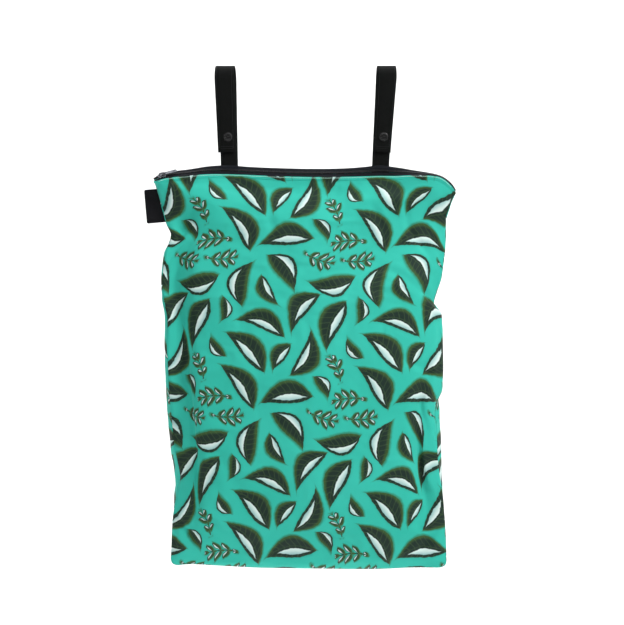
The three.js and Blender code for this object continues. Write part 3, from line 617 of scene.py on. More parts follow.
class Tree:
    """A node tree, with short ways to add to it."""

    def __init__(self, tree):
        self.tree = tree

    def join(self, value, socket):
        if isinstance(value, Value):
            self.tree.links.new(value.socket, socket)
        elif value is not None:
            socket.default_value = value

    def add(self, kind, given=(), output=0, **settings):
        """A new node's output or outputs; given holds its inputs by name or in order."""
        node = self.tree.nodes.new("ShaderNode" + kind)
        for key, value in settings.items():
            setattr(node, key, value)
        for key, value in given.items() if isinstance(given, dict) else enumerate(given):
            self.join(value, node.inputs[key])
        if isinstance(output, tuple):
            return [Value(self, node.outputs[key]) for key in output]
        return Value(self, node.outputs[output])

    def math(self, operation, *values):
        return self.add("Math", values, operation=operation)

    def vector(self, operation, *values):
        return self.add("VectorMath", values, operation=operation)

    def turn(self, vector, angle):
        given = {"Vector": vector, "Angle": angle}
        return self.add("VectorRotate", given, rotation_type="Z_AXIS")

    def parts(self, vector):
        return self.add("SeparateXYZ", [vector], (0, 1, 2))

    def whole(self, *values):
        return self.add("CombineXYZ", values)

    def span(self, *values):
        """How far a value is between two bounds, eased, as a share or between two more."""
        return self.add("MapRange", values, interpolation_type="SMOOTHSTEP")

    def blend(self, share, a, b, kind="RGBA", how="MIX"):
        first, result = {"FLOAT": (2, 0), "VECTOR": (4, 1), "RGBA": (6, 2)}[kind]
        given = {0: share, first: a, first + 1: b}
        return self.add("Mix", given, result, data_type=kind, blend_type=how)

    def noise(self, vector, scale, detail=2, rough=0.5, dimensions="3D", output=0):
        given = {"Vector": vector, "Scale": scale, "Detail": detail, "Roughness": rough}
        return self.add("TexNoise", given, output, noise_dimensions=dimensions)

    def on_cut(self):
        return self.add("UVMap", uv_map="flat")

    def on_object(self):
        return self.add("TexCoord", output="Object")


def linear(*rgb):
    """A colour given as screen values from 0 to 255."""
    share = [c / 255 for c in rgb]
    return (*[c / 12.92 if c <= 0.04045 else ((c + 0.055) / 1.055) ** 2.4 for c in share], 1.0)


def group(name, inputs, outputs):
    """A node group's tree, its inputs as values, and its outputs."""
    tree = bpy.data.node_groups.new(name, "ShaderNodeTree")
    for in_out, sockets in (("INPUT", inputs), ("OUTPUT", outputs)):
        for key, kind in sockets.items():
            tree.interface.new_socket(key, in_out=in_out, socket_type="NodeSocket" + kind)
    t = Tree(tree)
    given = tree.nodes.new("NodeGroupInput").outputs
    out = tree.nodes.new("NodeGroupOutput").inputs
    return t, {key: Value(t, given[key]) for key in inputs}, out


# The print's repeat, in metres, and its leaves and sprigs in millimetres: place, turn in
# degrees, length, width, and how much a leaf bends
REPEAT = (0.200, 0.230)
LEAVES = [
    (56, 153, 245, 78, 33, 0.30), (185, 49, 188, 78, 33, 0.30), (118, 63, 127, 78, 32, 0.30),
    (131, 114, 134, 78, 33, 0.30), (62, 211, 186, 68, 30, -0.32), (127, 211, 74, 68, 30, -0.32),
    (190, 1, 310, 68, 30, -0.32), (15, 107, 64, 74, 29, 0.42), (12, 174, 229, 74, 28, 0.42),
    (152, 153, 162, 74, 29, 0.42), (177, 106, 234, 48, 22, 0.25), (165, 200, 295, 48, 22, 0.25),
    (84, 115, 126, 36, 17, -0.30), (39, 63, 305, 38, 18, -0.30), (99, 171, 258, 38, 17, -0.30),
]
SPRIGS = [
    (78, 45, 184, 52, 30), (96, 14, 2, 50, 28), (38, 16, 342, 50, 28), (60, 89, 112, 40, 24),
]
MOTIF_INPUTS = {"Vector": "Vector", "Place": "Vector", "Turn": "Float", "Length": "Float",
                "Width": "Float", "Bend": "Float"}
MOTIF_OUTPUTS = {"Local": "Vector", "Edge": "Float"}
LEAF_TAPER = 0.28
SPRIG_BEND = 4 * MM
STEM_RADIUS = 0.8 * MM
LEAFLET_SLANT = 0.75
LEAFLET_PITCH = 11.5 * MM
LEAFLET_WIDTH = 18.5 * MM
INK_EDGE = 0.4 * MM
WOBBLE = 2.2 * MM
GLOW_REACH = 5.2 * MM
RIB_RADIUS = 0.45 * MM
VEIN_RADIUS = 0.42 * MM
VEIN_PITCH = 0.22
VEIN_SWEEP = 0.22


def on_motif(t, given):
    """A point's place on a motif that repeats: along it as a share, along, aside, its reach."""
    half = (REPEAT[0] / 2, REPEAT[1] / 2, 1)
    away = t.vector("SUBTRACT", given["Vector"], given["Place"])
    away = t.vector("WRAP", away, half, tuple(-h for h in half))
    x, y, _ = t.parts(t.turn(away, given["Turn"]))
    reach = given["Length"] * 0.5
    return x / reach, x, y, reach


def leaf_group():
    """A curved leaf: where a point lies on it, and how far it is from its edge."""
    t, given, out = group("leaf", MOTIF_INPUTS, MOTIF_OUTPUTS)
    u, _, y, reach = on_motif(t, given)
    square = u * u
    v = y - (square - 0.4) * (given["Bend"] * reach)
    taper = t.math("MAXIMUM", 1.0 - u * LEAF_TAPER, 0.2)
    w = (1.0 - square) * taper * (given["Width"] * 0.5)
    t.join(t.whole(u, v, w), out["Local"])
    t.join(abs(v) - w, out["Edge"])
    return t.tree


def sprig_group():
    """A stem with pairs of leaflets, described as a leaf is."""
    t, given, out = group("sprig", MOTIF_INPUTS, MOTIF_OUTPUTS)
    u, x, y, reach = on_motif(t, given)
    aside = abs(y - u * u * SPRIG_BEND)
    slant = x - aside * LEAFLET_SLANT
    row = t.math("WRAP", slant, LEAFLET_PITCH / 2, -LEAFLET_PITCH / 2)
    root = (slant - row) / reach
    tall = (1.0 - root * root) * (given["Width"] * 0.5)
    q = aside / t.math("MAXIMUM", tall, 1 * MM)
    w = q * (1.0 - q) * LEAFLET_WIDTH
    ends = (abs(u) - 0.98) * reach
    leaflet = t.math("MAXIMUM", abs(row) - w, ends)
    stem = t.math("MAXIMUM", aside - STEM_RADIUS, ends)
    t.join(t.whole(q * 2.0 - 1.0, row, w), out["Local"])
    t.join(t.math("MINIMUM", leaflet, stem), out["Edge"])
    return t.tree


def nearest_motif(t, at):
    """Where a point lies on the leaf or sprig nearest to it, and how far its edge is."""
    leaf, sprig = leaf_group(), sprig_group()
    local = best = None
    rows = [(leaf, *row) for row in LEAVES] + [(sprig, *row, 0.0) for row in SPRIGS]
    for tree, x, y, turn, length, width, bend in rows:
        motif = {"Vector": at, "Place": (x * MM, y * MM, 0), "Turn": -math.radians(turn),
                 "Length": length * MM, "Width": width * MM, "Bend": bend}
        here, edge = t.add("Group", motif, ("Local", "Edge"), node_tree=tree)
        if best is None:
            local, best = here, edge
            continue
        local = t.blend(t.math("LESS_THAN", edge, best), local, here, "VECTOR")
        best = t.math("MINIMUM", best, edge)
    return local, best


def print_group():
    """The printed cloth's colour and where its ink is, on the flat cut."""
    t, given, out = group("leaf_print", {"Vector": "Vector"}, {"Color": "Color", "Ink": "Float"})
    flat = given["Vector"]
    soft = t.noise(flat, 130, dimensions="2D", output="Color")
    soft = t.vector("SUBTRACT", soft, (0.5, 0.5, 0.5))
    local, best = nearest_motif(t, t.vector("MULTIPLY_ADD", soft, (WOBBLE,) * 3, flat))
    u, v, w = t.parts(local)
    w = t.math("MAXIMUM", w, INK_EDGE)
    side = v / w

    broad = t.noise(flat, 9, dimensions="2D")
    ground = t.blend(broad, linear(38, 178, 158), linear(54, 190, 172))
    glow = t.span(best, GLOW_REACH, -INK_EDGE) * t.span(side, 1.6, -1.2, 0.1, 1.0)
    colour = t.blend(glow * 0.85, ground, linear(48, 104, 58))
    deep = side * 0.0026 - best
    leafy = t.blend(t.span(deep, -0.0012, 0.0048), linear(50, 80, 38), linear(14, 40, 30))
    rib = abs(v) - RIB_RADIUS
    lines = t.math("WRAP", u - abs(side) * VEIN_SWEEP, VEIN_PITCH / 2, -VEIN_PITCH / 2)
    veins = abs(lines) * 0.03 - VEIN_RADIUS
    line = t.span(t.math("MINIMUM", rib, veins), INK_EDGE, -INK_EDGE / 2)
    leafy = t.blend(line * 0.22, leafy, linear(84, 112, 62))
    inked = t.span(best, INK_EDGE, -INK_EDGE)
    colour = t.blend(inked, colour, leafy)

    along = (u + 0.12) / 0.66
    patch = abs(v - w * 0.46) - w * 0.27 * (1.0 - along * along)
    pale = t.span(patch, INK_EDGE, -INK_EDGE) * t.math("LESS_THAN", best, 0.0)
    shade = t.blend(t.span(side, 0.15, 0.85), linear(216, 234, 228), linear(140, 188, 186))
    t.join(t.blend(pale, colour, shade), out["Color"])
    t.join(inked, out["Ink"])
    return t.tree


SHADER_INPUTS = {"rough": "Roughness", "metal": "Metallic", "sheen": "Sheen Weight",
                 "coat": "Coat Weight", "shine": "Specular IOR Level"}


def surface(name, **values):
    """A new material, its tree and its shader's inputs, some set by their short names."""
    material = bpy.data.materials.new(name)
    material.use_nodes = True
    shader = material.node_tree.nodes["Principled BSDF"].inputs
    for key, value in values.items():
        shader[SHADER_INPUTS[key]].default_value = value
    return material, Tree(material.node_tree), shader


def tinted(t, shader, share, dark, light):
    t.join(t.blend(share, linear(*dark), linear(*light)), shader["Base Color"])


def bump(t, shader, height, distance, strength=1.0):
    given = {"Strength": strength, "Distance": distance, "Height": height}
    t.join(t.add("Bump", given), shader["Normal"])


def wave(t, value, period):
    """A cosine of the value, from 0 to 1."""
    return t.math("COSINE", value * (2 * math.pi / period)) * 0.5 + 0.5


def weave(t, vector, pitch_u, pitch_v):
    """Threads over and under each other: the height of a plain weave."""
    u, v, _ = t.parts(vector)
    checks = t.math("FLOOR", u / pitch_u) + t.math("FLOOR", v / pitch_v)
    checks = t.math("PINGPONG", checks, 1.0)
    return t.blend(checks, wave(t, u, pitch_u), wave(t, v, pitch_v), "FLOAT")


def printed_cloth():
    material, t, shader = surface("printed_cloth", sheen=0.04, shine=0.25)
    flat = t.on_cut()
    colour, ink = t.add("Group", {"Vector": flat}, ("Color", "Ink"), node_tree=print_group())
    u, v, _ = t.parts(flat)
    knit = wave(t, u, KNIT_PITCH[0]) * wave(t, v, KNIT_PITCH[1])
    # Painted shade, faint: the knit's hollows are coloured a little darker than its loops, by the
    # same knit wave as the bump.
    tone = knit * 0.05 + 0.95
    colour = t.blend(1.0, colour, t.whole(tone, tone, tone), how="MULTIPLY")
    t.join(colour, shader["Base Color"])
    t.join(t.span(ink, 0.0, 1.0, 0.80, 0.66), shader["Roughness"])
    rumple = t.noise(flat, 70, 3, dimensions="2D")
    bump(t, shader, rumple * 3.0 + knit, 0.12 * MM, 0.8)
    return material


def woven(name, dark, light, pitch, rough, depth):
    """Dull woven webbing or tape, the tops of its threads painted a little lighter: a painted
    highlight.
    """
    material, t, shader = surface(name, sheen=0.03, shine=0.08)
    flat = t.on_cut()
    threads = weave(t, flat, *pitch)
    fuzz = t.noise(flat, 900, 2, 0.6, "2D")
    # Painted highlight and shade: the raised threads are coloured lighter and the hollows between
    # them darker, under a random tone from the fuzz.
    tinted(t, shader, threads * (fuzz * 0.8 + 0.4), dark, light)
    t.join(t.span(fuzz, 0.2, 0.8, rough - 0.08, rough + 0.1), shader["Roughness"])
    bump(t, shader, fuzz * 0.3 + threads, depth)
    return material


def moulded(name, dark, light, rough, coat, shine=0.5):
    material, t, shader = surface(name, coat=coat, shine=shine)
    grain = t.noise(t.on_object(), 900, 3, 0.6)
    tinted(t, shader, t.span(grain, 0.3, 0.8), dark, light)
    t.join(t.span(grain, 0.2, 0.8, rough - 0.05, rough + 0.12), shader["Roughness"])
    bump(t, shader, grain, 0.03 * MM)
    return material


def painted_metal():
    material, t, shader = surface("slider_metal", metal=0.9)
    mottle = t.noise(t.on_object(), 420, 4, 0.65)
    edge = t.add("NewGeometry", output="Pointiness")
    # Sharp edges are coloured a paler grey, in patches.
    paler_edges = t.span(edge, 0.52, 0.60) * t.span(mottle, 0.35, 0.65)
    tinted(t, shader, paler_edges, (70, 72, 78), (150, 152, 158))
    t.join(t.span(mottle, 0.2, 0.8, 0.18, 0.34), shader["Roughness"])
    bump(t, shader, mottle, 0.04 * MM)
    return material


def thread(name, dark, light):
    material, t, shader = surface(name, rough=0.7, sheen=0.05, shine=0.2)
    u, v, _ = t.parts(t.on_cut())
    # Painted highlight and shade: each ply's twist is coloured lighter on its crest and darker
    # between, by the same wave as the bump.
    ply = wave(t, v * 0.6 + u, 0.7 * MM)
    tinted(t, shader, ply, dark, light)
    bump(t, shader, ply, 0.08 * MM)
    return material


def backdrop_material():
    material, t, shader = surface("backdrop", rough=0.9)
    tone = t.noise(t.on_object(), 1.5, 1)
    t.join(t.blend(tone, (0.93, 0.93, 0.93, 1), (0.96, 0.96, 0.96, 1)), shader["Base Color"])
    return material


# The pieces


def finished(piece, body_name, slot_name, *nodes):
    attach(piece, body_name)
    if nodes:
        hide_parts(*nodes)
    return piece


def panels(front, back, cloth):
    """The two printed panels, each a thin closed shell."""
    for name, grid, shift in (("front", front, 0.0), ("back", back, BACK_PRINT_SHIFT)):
        turned = name == "back"
        columns, rows = grid.shape[:2]
        across, down = shares(columns, rows)
        u = (1 - across if turned else across) * FLAT_WIDTH + shift
        uvs = paired(u, PRINT_TOP - FLAT_HEIGHT * down).reshape(-1, 2)
        faces = grid_faces(columns, rows, turned)
        piece = put(name + "_cloth", grid.reshape(-1, 3), faces, uvs, cloth)
        thickened(piece, SHOWN_CLOTH, -1)
        nodes = [f"{name}_panel_{place}" for place in ("top", "middle", "bottom")]
        finished(piece, "bag", "print_cloth", *nodes)


def travelled(points):
    """The distance along a path to each of its points."""
    steps = np.linalg.norm(np.diff(points, axis=0), axis=1)
    return np.concatenate([[0], np.cumsum(steps)])


def along(points, values, at):
    """Values that belong to a path's points, at distances along the path."""
    return sampled(travelled(points), values, at)


def directions(points):
    return unit(np.gradient(np.asarray(points, float), axis=0))


def rope_part(points, radius, sides=6, up=(0, 0, 1)):
    """A round thread through points."""
    points = np.asarray(points, float)
    forward = directions(points)
    first = unit(np.cross(forward, np.asarray(up, float)))
    second = np.cross(first, forward)
    turns = np.linspace(0, 2 * math.pi, sides, endpoint=False)
    cosine, sine = np.cos(turns)[None, :, None], np.sin(turns)[None, :, None]
    rings = points[:, None] + radius * (cosine * first[:, None] + sine * second[:, None])
    return tube_part(rings, paired(travelled(points)[:, None], (turns * radius)[None]))


def stitch_parts(points, normals, pitch, length, radius):
    """A row of stitches along a path that lies on a surface with those normals."""
    total = travelled(points)[-1]
    dip = radius * 0.5 * np.array([-1.0, 0.55, 1.0, 0.55, -1.0])[:, None]
    parts = []
    for start in np.arange(pitch / 2, total - length, pitch):
        at = start + length * np.linspace(0, 1, 5)
        out = unit(along(points, normals, at))
        parts.append(rope_part(along(points, points, at) + out * dip, radius, 5, up=out[2]))
    return parts


def zipper_sections(count):
    """The zipper at many places: its upper edge, the front hem's top, and its directions."""
    across = np.linspace(0, 1, count)
    none = np.zeros(count)
    here = front_point(across, none)
    before = front_point(np.clip(across - 1e-3, 0, 1), none)
    beside = front_point(np.clip(across + 1e-3, 0, 1), none) - before
    below = front_point(across, none + 0.012) - here
    behind = unit(np.cross(beside, below))
    hem = here + behind * ((CLOTH + TAPE) / 2 + GAP)
    x, z = top_point("back", across)
    upper = np.stack([x, none - TAPE_LEAD, z], -1)
    over = hem - upper
    width = np.linalg.norm(over, axis=-1, keepdims=True)
    over = over / width
    out = unit(np.stack([none, over[:, 2], -over[:, 1]], -1))
    middle = upper + over * width / 2
    return {"across": across, "upper": upper, "hem": hem, "over": over, "width": width,
            "out": out, "middle": middle}


def ribbon_part(line, aside, out, half_width, thickness, corner=0.35):
    """A flat band with rounded edges along a line of middle points."""
    near = 0.96
    profile = [(-1, -corner), (-1, corner), (-near, 1), (-0.5, 1), (0, 1), (0.5, 1), (near, 1),
               (1, corner), (1, -corner), (near, -1), (0.5, -1), (0, -1), (-0.5, -1), (-near, -1)]
    half = np.broadcast_to(np.asarray(half_width, float), (len(line),))[:, None]
    rise = out * thickness / 2
    rings = np.stack([line + aside * (a * half) + rise * o for a, o in profile], 1)
    wide = np.array([a for a, _ in profile]) * half
    return tube_part(rings, paired(wide, travelled(line)[:, None]))


def tape_grid(starts, ends, heights, out):
    """A grid of points between two lines, raised into ribs by heights."""
    share = np.linspace(0, 1, len(heights))[None, :, None]
    ribs = np.array(heights)[None, :, None] * MM * out[:, None]
    return starts[:, None] * (1 - share) + ends[:, None] * share + ribs


def behind_hem(front, across, row, depth):
    """A line behind a row of the front cloth, at places across it."""
    beside, below = np.gradient(front, axis=0)[:, row], np.gradient(front, axis=1)[:, row]
    line = front[:, row] + unit(np.cross(beside, below)) * depth
    return sampled(np.linspace(0, 1, len(line)), line, across)


def tapes(s, front):
    """The two woven tapes; the lower one's hidden part follows the front cloth."""
    finish = woven("zipper_tape", (9, 11, 15), (26, 29, 35), TAPE_PITCH, 0.86, 0.12 * MM)
    room = np.maximum(s["width"] / 2 - COIL_WIDTH / 2 + 1 * MM, 0.5 * MM)
    upper_end = s["upper"] + s["over"] * room
    upper = tape_grid(s["upper"], upper_end, [0, 0.22, 0.05, 0.22, 0.05, 0], s["out"])
    lower = tape_grid(s["hem"] - s["over"] * room, s["hem"], [0, 0.05, 0.22, 0.05, 0], s["out"])
    behind = [behind_hem(front, s["across"], row, (CLOTH + TAPE) / 2 + GAP) for row in (1, 2)]
    lower = np.concatenate([lower, np.stack(behind, 1)], 1)
    for name, grid in (("upper", upper), ("lower", lower)):
        columns, rows = grid.shape[:2]
        uvs = paired(travelled(grid[:, 0])[:, None], travelled(grid[columns // 2])[None])
        piece = put("tape_" + name, grid.reshape(-1, 3), grid_faces(columns, rows),
                    uvs.reshape(-1, 2), finish)
        finished(thickened(piece, TAPE), "bag", "zipper_tape", "zipper_tape_" + name)


def coil(s):
    """The coil's turns, one row's between the other's, and the cord inside them."""
    finish = moulded("zipper_teeth", (8, 9, 12), (22, 24, 30), 0.45, 0.0, 0.2)
    start = (SLIDER_INSET - SLIDER_LENGTH / 4) / BAG_WIDTH
    inside = (s["across"] >= start) & (s["across"] <= COIL_END)
    over, out = s["over"][inside], s["out"][inside]
    line = s["middle"][inside] + out * 0.25 * MM
    at = np.arange(0.4 * MM, travelled(line)[-1] - 0.4 * MM, TURN_PITCH)
    places = along(line, line, at)
    asides, ups = unit(along(line, over, at)), unit(along(line, out, at))
    parts = []
    for k, (place, aside, up) in enumerate(zip(places, asides, ups)):
        forward = np.cross(aside, up)
        wide = COIL_WIDTH / 2 if k % 2 else -COIL_WIDTH / 2
        loop = [
            place + aside * (a * wide) + up * (o * TURN_RISE) + forward * (a * TURN_LEAN)
            for a, o in TURN
        ]
        parts.append(rope_part(loop, TURN_RADIUS, 6, up=forward))
    parts.append(rope_part(line[::4] + out[::4] * 0.15 * MM, 0.75 * MM, 8))
    finished(joined("coil_teeth", parts, material=finish), "bag", "zipper_coil", "zipper_coil")


def zipper(front):
    """The woven tapes, the coil, and the stitches that hold the upper tape."""
    s = zipper_sections(240)
    tapes(s, front)
    coil(s)
    black_thread = thread("black_thread", (12, 13, 15), (42, 45, 50))
    row = s["upper"] + s["over"] * (s["width"] * 0.16) + s["out"] * (TAPE / 2 + 0.12 * MM)
    rows = stitch_parts(row[4:-10], s["out"][4:-10], *TAPE_STITCH)
    finished(joined("tape_stitches", rows, material=black_thread), "bag", "zipper_tape")


def hem(front, cloth):
    """The front panel's folded top edge and the stitches below it."""
    line = front[:, 0]
    below = unit(front[:, 2] - front[:, 0])
    out = unit(np.cross(below, directions(line)))
    out = np.where(out[:, 1:2] > 0, -out, out)
    half = FOLD_THICKNESS / 2
    turns = np.radians(np.linspace(-90, 90, 7))
    profile = [(-half * math.cos(a), half * math.sin(a)) for a in turns]
    profile += [(FOLD_DEPTH - 0.4 * MM, 0.9 * half), (FOLD_DEPTH, 0.1 * MM),
                (FOLD_DEPTH - 0.4 * MM, -half)]
    rings = np.stack([line + below * down + out * rise for down, rise in profile], 1)
    lengths = np.linspace(0, FLAT_WIDTH, len(line))[:, None]
    uvs = paired(lengths, PRINT_TOP - np.array([down for down, _ in profile])[None])
    fold = joined("hem_fold", [tube_part(rings, uvs)], material=cloth)
    finished(fold, "bag", "print_cloth")
    # The hem's stitches are a pale thread whose colour also paints the highlight along the fold's
    # edge: partly the thread's own colour, partly a painted highlight.
    pale_thread_and_highlight = thread("hem_stitch_and_fold_highlight", (150, 196, 184), (196, 226, 218))
    row = line + below * (0.9 * MM) + out * (half + 0.1 * MM)
    rows = stitch_parts(row[2:-2], out[2:-2], *HEM_STITCH)
    finished(joined("hem_stitches", rows, material=pale_thread_and_highlight), "bag", "print_cloth")


# The slider's frame on the band: along the coil, aside, and out of it
SLIDER_ORIGIN = Vector((-199.34469, -8.51955, -141.53731)) * MM
SLIDER_AXES = (
    (0.96945, 0.02594, 0.24391), (-0.16009, 0.82030, 0.54907), (-0.18584, -0.57134, 0.79939),
)


# In millimetres in that frame: the plates' half width with their waist, the lips' half width,
# the bridge's bend, the bar's height over the coil and the pull's far end
SLIDER_HALF = 4.75
SLIDER_WAIST = (0.98, 0.90, 0.72)
LIP_HALF = 0.4
BRIDGE = ((-3.9, 2.7), (-4, 4.4), (-3.7, 5.5), (-3, 5.95), (-1.5, 6.15), (0, 6.2), (1.5, 6.15),
          (3, 5.95), (3.7, 5.5), (4, 4.4), (3.9, 2.7))
BAR_HEIGHT = 4.1
PULL_END = 21


def slider_place():
    return Matrix.Translation(SLIDER_ORIGIN) @ Matrix(SLIDER_AXES).transposed().to_4x4()


def plate_part(corners, low, high, rise=0.0):
    """A plate with a rounded outline, in millimetres; its top may swell by rise."""
    middle = corners.mean(0)
    rings = []
    for share, z in ((0.94, low), (1, low + 0.15), (1, high - 0.25), (0.95, high - 0.06),
                     (0.85, high), (0.45, high + rise * 0.8), (0.15, high + rise)):
        ring = middle + (corners - middle) * share
        rings.append(np.column_stack([ring, np.full(len(corners), z)]) * MM)
    return tube_part(rings)


def rounded_outline(left, right, half, radius, steps=5):
    corners = ((right - radius, half - radius, 0), (left + radius, half - radius, 90),
               (left + radius, -half + radius, 180), (right - radius, -half + radius, 270))
    points = []
    for x, y, start in corners:
        for angle in np.radians(np.linspace(start, start + 90, steps)):
            points.append((x + radius * math.cos(angle), y + radius * math.sin(angle)))
    return np.array(points)


def slider(metal):
    """The slider: two plates joined by a neck, with curled lips and a bent bridge."""
    end = SLIDER_LENGTH / 2 / MM
    shape = rounded_outline(-end, end, SLIDER_HALF, 2.6)
    shape[:, 1] *= np.interp(shape[:, 0], [-end, 0, end], SLIDER_WAIST)
    neck = rounded_outline(-end + 0.6, -end + 3, 1.2, 0.6, 3)
    parts = [
        plate_part(shape, 1.6, 2.9, 0.25),
        plate_part(shape, -2.1, -1.1),
        plate_part(neck, -1.4, 1.9),
    ]
    xs = np.linspace(-end + 2.2, end - 2.2, 7)
    for side in (-1, 1):
        ys = side * (SLIDER_HALF - 0.45) * np.interp(xs, [-end, 0, end], SLIDER_WAIST)
        for low, high in ((1.05, 2.1), (-1.7, -1.05)):
            lip = [[(x, y - LIP_HALF, low), (x, y + LIP_HALF, low), (x, y + LIP_HALF, high),
                    (x, y - LIP_HALF, high)] for x, y in zip(xs, ys)]
            parts.append(tube_part(np.array(lip) * MM))
    arch = np.array([(x, 0, z) for x, z in BRIDGE]) * MM
    side = np.tile((0.0, 1.0, 0.0), (len(arch), 1))
    out = np.cross(directions(arch), side)
    parts.append(ribbon_part(arch, side, out, 1.2 * MM, 0.9 * MM))
    piece = joined("slider", parts, material=metal)
    piece.matrix_world = slider_place()
    finished(piece, "bag", "slider_metal", "slider_body")


def pull(metal):
    """The pull tab: a bar under the bridge, a framed window, and a tab with a hole."""
    outer = rounded_outline(-0.7, PULL_END, 3.3, 2.2, 7)
    outer[:, 1] *= np.interp(outer[:, 0], [0, 8, 12, PULL_END], [0.96, 0.86, 0.90, 1.0])
    window = rounded_outline(0.75, 5.7, 1.75, 0.8, 7)
    turns = np.linspace(0, 2 * math.pi, 24, endpoint=False)
    hole = np.column_stack([17 + 1.55 * np.cos(turns), 1.55 * np.sin(turns)])
    curve = bpy.data.curves.new("pull_outline", "CURVE")
    curve.dimensions = "2D"
    curve.fill_mode = "BOTH"
    curve.extrude = 0.42 * MM
    curve.bevel_depth = 0.16 * MM
    curve.bevel_resolution = 2
    for ring in (outer, window, hole):
        spline = curve.splines.new("POLY")
        spline.points.add(len(ring) - 1)
        for point, (x, y) in zip(spline.points, ring * MM):
            point.co = (x, y, 0, 1)
        spline.use_cyclic_u = True
    shape = linked("pull_outline", curve)
    shown = shape.evaluated_get(bpy.context.evaluated_depsgraph_get())
    mesh = bpy.data.meshes.new_from_object(shown)
    bpy.data.objects.remove(shape)
    mesh.materials.clear()
    mesh.materials.append(metal)
    piece = linked("pull_tab_metal", mesh)
    piece.matrix_world = slider_place() @ Matrix.Translation((0, 0, BAR_HEIGHT * MM))
    finished(piece, "pull", "slider_metal", "pull_tab")


def strap_line(row):
    """A strap's middle line from its end in the seam, over the top and down to the flap's end."""
    radius = LOOP_RADIUS + STRAP_THICKNESS / 2
    layer = (SNAP_STACK + STRAP_THICKNESS) / 2
    near = SNAP_PLATE_RADIUS + 2 * MM
    slant = math.atan2(radius - layer, SNAP_DROP - near)
    side = row["side"] * LOOP_SPACING / 2
    points = []

    def add(start, end, share, y, z):
        width = mix(STRAP_TOP_WIDTH, STRAP_BASE_WIDTH, min(max(-z, 0) / STRAP_DROP, 1))
        points.append((side * mix(row[start], row[end], share), y, z, width))

    for y, z in ((0, TOP_Z - SEAM_TUCK), (0, TOP_Z + 4 * MM), (layer, -SNAP_DROP - near),
                 (layer, -SNAP_DROP + near)):
        add("rise", "base", min(-z / STRAP_DROP, 1), y, z)
    for step in range(13):
        angle = mix(-slant, math.pi + slant, step / 12)
        add("rise", "over", step / 12, radius * math.cos(angle), radius * math.sin(angle))
    for y, z in ((-layer, -SNAP_DROP + near), (-layer, -SNAP_DROP - near),
                 (-layer + 0.4 * MM, -FLAP_DROP)):
        add("over", "flap", -z / FLAP_DROP, y, z)
    return np.array(points)


def strap_stitches(line, aside, out, half):
    """Stitches along both edges of a strap and across its flap's end, on both faces."""
    left = travelled(line)[-1] - travelled(line)
    share = np.linspace(-1, 1, 9)[:, None]
    rows = []
    for face in (-1, 1):
        lift = out * face * (STRAP_THICKNESS / 2 + 0.05 * MM)
        for side in (-1, 1):
            edge = line + aside * (side * (half - STITCH_INSET))[:, None] + lift
            rows += stitch_parts(edge[6:-2], face * out[6:-2], *STRAP_STITCH)
        for drop in BAR_DROPS:
            k = int(np.argmin(np.abs(left - drop)))
            bar = line[k] + aside[k] * share * (half[k] - STITCH_INSET) + lift[k]
            rows += stitch_parts(bar, np.tile(face * out[k], (9, 1)), *STRAP_STITCH)
    return rows


def straps():
    """The two webbing loops, stitched along both edges and across the flap's end."""
    webbing = woven("webbing", (7, 8, 8), (22, 24, 23), WEBBING_PITCH, 0.9, 0.3 * MM)
    edge_thread = thread("strap_thread", (12, 13, 13), (38, 40, 40))
    for name, row in STRAPS.items():
        coarse = strap_line(row)
        length = travelled(coarse[:, :3])[-1]
        fine = along(coarse[:, :3], coarse, np.linspace(0, length, 110))
        for _ in range(3):
            fine[1:-1] = (fine[:-2] + 2 * fine[1:-1] + fine[2:]) / 4
        line, half = fine[:, :3], fine[:, 3] / 2
        forward = directions(line)
        aside = unit(np.array([1.0, 0, 0]) - forward * forward[:, :1])
        out = np.cross(forward, aside)
        band_part = ribbon_part(line, aside, out, half, STRAP_THICKNESS, 0.4)
        piece = joined("strap_cloth_" + name, [band_part], material=webbing)
        finished(piece, "bag", "webbing", "strap_" + name)
        rows = strap_stitches(line, aside, out, half)
        finished(joined("strap_stitches_" + name, rows, material=edge_thread), "bag", "webbing")


# A snap's cap from its middle to its rim and back over the dome: radius and height in millimetres
SNAP_CAP = ((0.05, 0), (1.5, 0), (6, 0), (6.2, 0.25), (6.15, 0.75), (5.9, 1.15), (5.5, 1.38),
            (5.1, 1.4), (4.85, 1.22), (4.5, 1.24), (3.6, 1.46), (2.2, 1.62), (1.2, 1.66),
            (0.8, 1.56), (0.4, 1.5), (0.05, 1.5))


def turned_part(profile, sides=40):
    """A solid turned about Y from (radius, y) corners."""
    turns = np.linspace(0, 2 * math.pi, sides, endpoint=False)
    rings = [
        np.column_stack([radius * np.cos(turns), np.full(sides, y), radius * np.sin(turns)])
        for radius, y in profile
    ]
    return tube_part(rings)


def snaps():
    """The snaps' domed buttons; their inner halves keep the model's shape."""
    plastic = moulded("snap_plastic", (7, 8, 8), (14, 15, 16), 0.2, 0.6)
    base = SNAP_STACK / 2 + STRAP_THICKNESS + GAP
    for name, row in STRAPS.items():
        x = row["side"] * row["snap"] * LOOP_SPACING / 2
        for face, sign in (("front", -1), ("back", 1)):
            dome = [(radius * MM, sign * (base + y * MM)) for radius, y in SNAP_CAP]
            post = [(1.5 * MM, sign * 1 * MM), (1.5 * MM, sign * (base + 0.1 * MM))]
            parts = [turned_part(dome), turned_part(post, 20)]
            piece = joined(f"snap_button_{face}_{name}", parts, material=plastic)
            piece.location = (x, 0, -SNAP_DROP)
            bpy.context.view_layer.update()
            finished(piece, "bag", "snap", f"snap_cap_{face}_{name}")
        for inner in ("snap_socket_", "snap_stud_"):
            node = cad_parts[inner + name]
            node.data.materials.clear()
            node.data.materials.append(plastic)


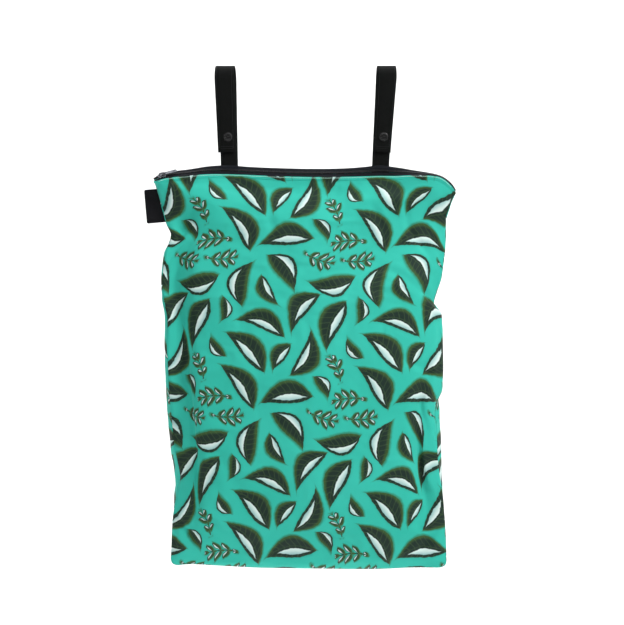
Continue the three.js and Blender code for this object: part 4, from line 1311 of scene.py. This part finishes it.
def label():
    """The folded label in the side seam, left bare."""
    finish = woven("label_weave", (12, 12, 15), (26, 26, 30), LABEL_PITCH, 0.62, 0.06 * MM)
    z = TOP_Z - LABEL_DROP
    corner = Vector((side_x(-1, z) - LABEL_SHOWN, 0, z))
    reach, radius = LABEL_SHOWN + LABEL_TUCK, 2.5 * MM
    turn = Matrix.Rotation(-LABEL_TILT, 3, "Y")
    columns, rows = 30, 40
    places, uvs = [], []
    for a in np.linspace(0, 1, columns):
        px = reach * a**1.3
        inset = radius - math.sqrt(max(radius**2 - max(radius - px, 0) ** 2, 0))
        for b in np.linspace(0, 1, rows):
            pz = -mix(inset, LABEL_HEIGHT - inset, b)
            curl = LABEL_CURL * math.sin(math.pi * b) * (1 - min(px / LABEL_SHOWN, 1)) ** 2
            places.append(turn @ Vector((px, -curl, pz)) + corner)
            uvs.append((px, pz))
    piece = put("side_tab", places, grid_faces(columns, rows), uvs, finish)
    thickened(piece, LABEL_THICKNESS)
    finished(bevelled(piece, 0.3 * MM), "bag", "label", "side_label")


# The camera, the light and the ground
CAMERA_PLACE = (0.0089, -2.6, -0.3311)
VIEW_HEIGHT = 0.875
SENSOR = 24
SKY = 0.24
FLOOR_Z, WALL_Y, BEND = -1.05, 1.3, 0.5
# Each lamp's name, place, aim, size and power
LAMPS = (
    ("key", (1.6, -1.1, 1.2), (0, 0, -0.4), 0.7, 48),
    ("fill", (-1.8, -1.9, 0.1), (0, 0, -0.4), 1.6, 12),
    ("wall_wash", (0, 0.4, 1.6), (0, 1.3, -0.3), 2.4, 60),
)


def backdrop():
    """A ground that bends up into a wall behind the bag."""
    profile = [(-6, FLOOR_Z)]
    for angle in np.linspace(0, math.pi / 2, 14):
        across, up = BEND * math.sin(angle), BEND * (1 - math.cos(angle))
        profile.append((WALL_Y - BEND + across, FLOOR_Z + up))
    profile.append((WALL_Y, 3.5))
    points = [(x, y, z) for x in (-5, 5) for y, z in profile]
    faces = grid_faces(2, len(profile), turned=True)
    put("backdrop", points, faces, material=backdrop_material())


def stage():
    """The camera, the ground, and the light from a pale sky and three lamps."""
    scene = bpy.context.scene
    scene.camera = linked("camera", bpy.data.cameras.new("camera"))
    lens = scene.camera.data
    lens.sensor_fit = "VERTICAL"
    lens.sensor_height = SENSOR
    lens.lens = -SENSOR * CAMERA_PLACE[1] / VIEW_HEIGHT
    lens.clip_end = 50
    scene.camera.location = CAMERA_PLACE
    scene.camera.rotation_euler = (math.pi / 2, 0, 0)
    backdrop()
    scene.world = bpy.data.worlds.new("studio")
    scene.world.use_nodes = True
    sky = scene.world.node_tree.nodes["Background"].inputs
    sky["Color"].default_value = (1, 1, 1, 1)
    sky["Strength"].default_value = SKY
    for name, place, aim, size, power in LAMPS:
        light = bpy.data.lights.new(name, "AREA")
        light.shape = "DISK"
        light.size = size
        light.energy = power
        lamp = linked(name, light)
        lamp.location = place
        aim = Vector(aim) - Vector(place)
        lamp.rotation_euler = aim.to_track_quat("-Z", "Y").to_euler()
    scene.view_settings.view_transform = "Standard"


stage()
cloth = printed_cloth()
metal = painted_metal()
front, back = body()
straps()
panels(front, back, cloth)
zipper(front)
hem(front, cloth)
slider(metal)
pull(metal)
snaps()
label()
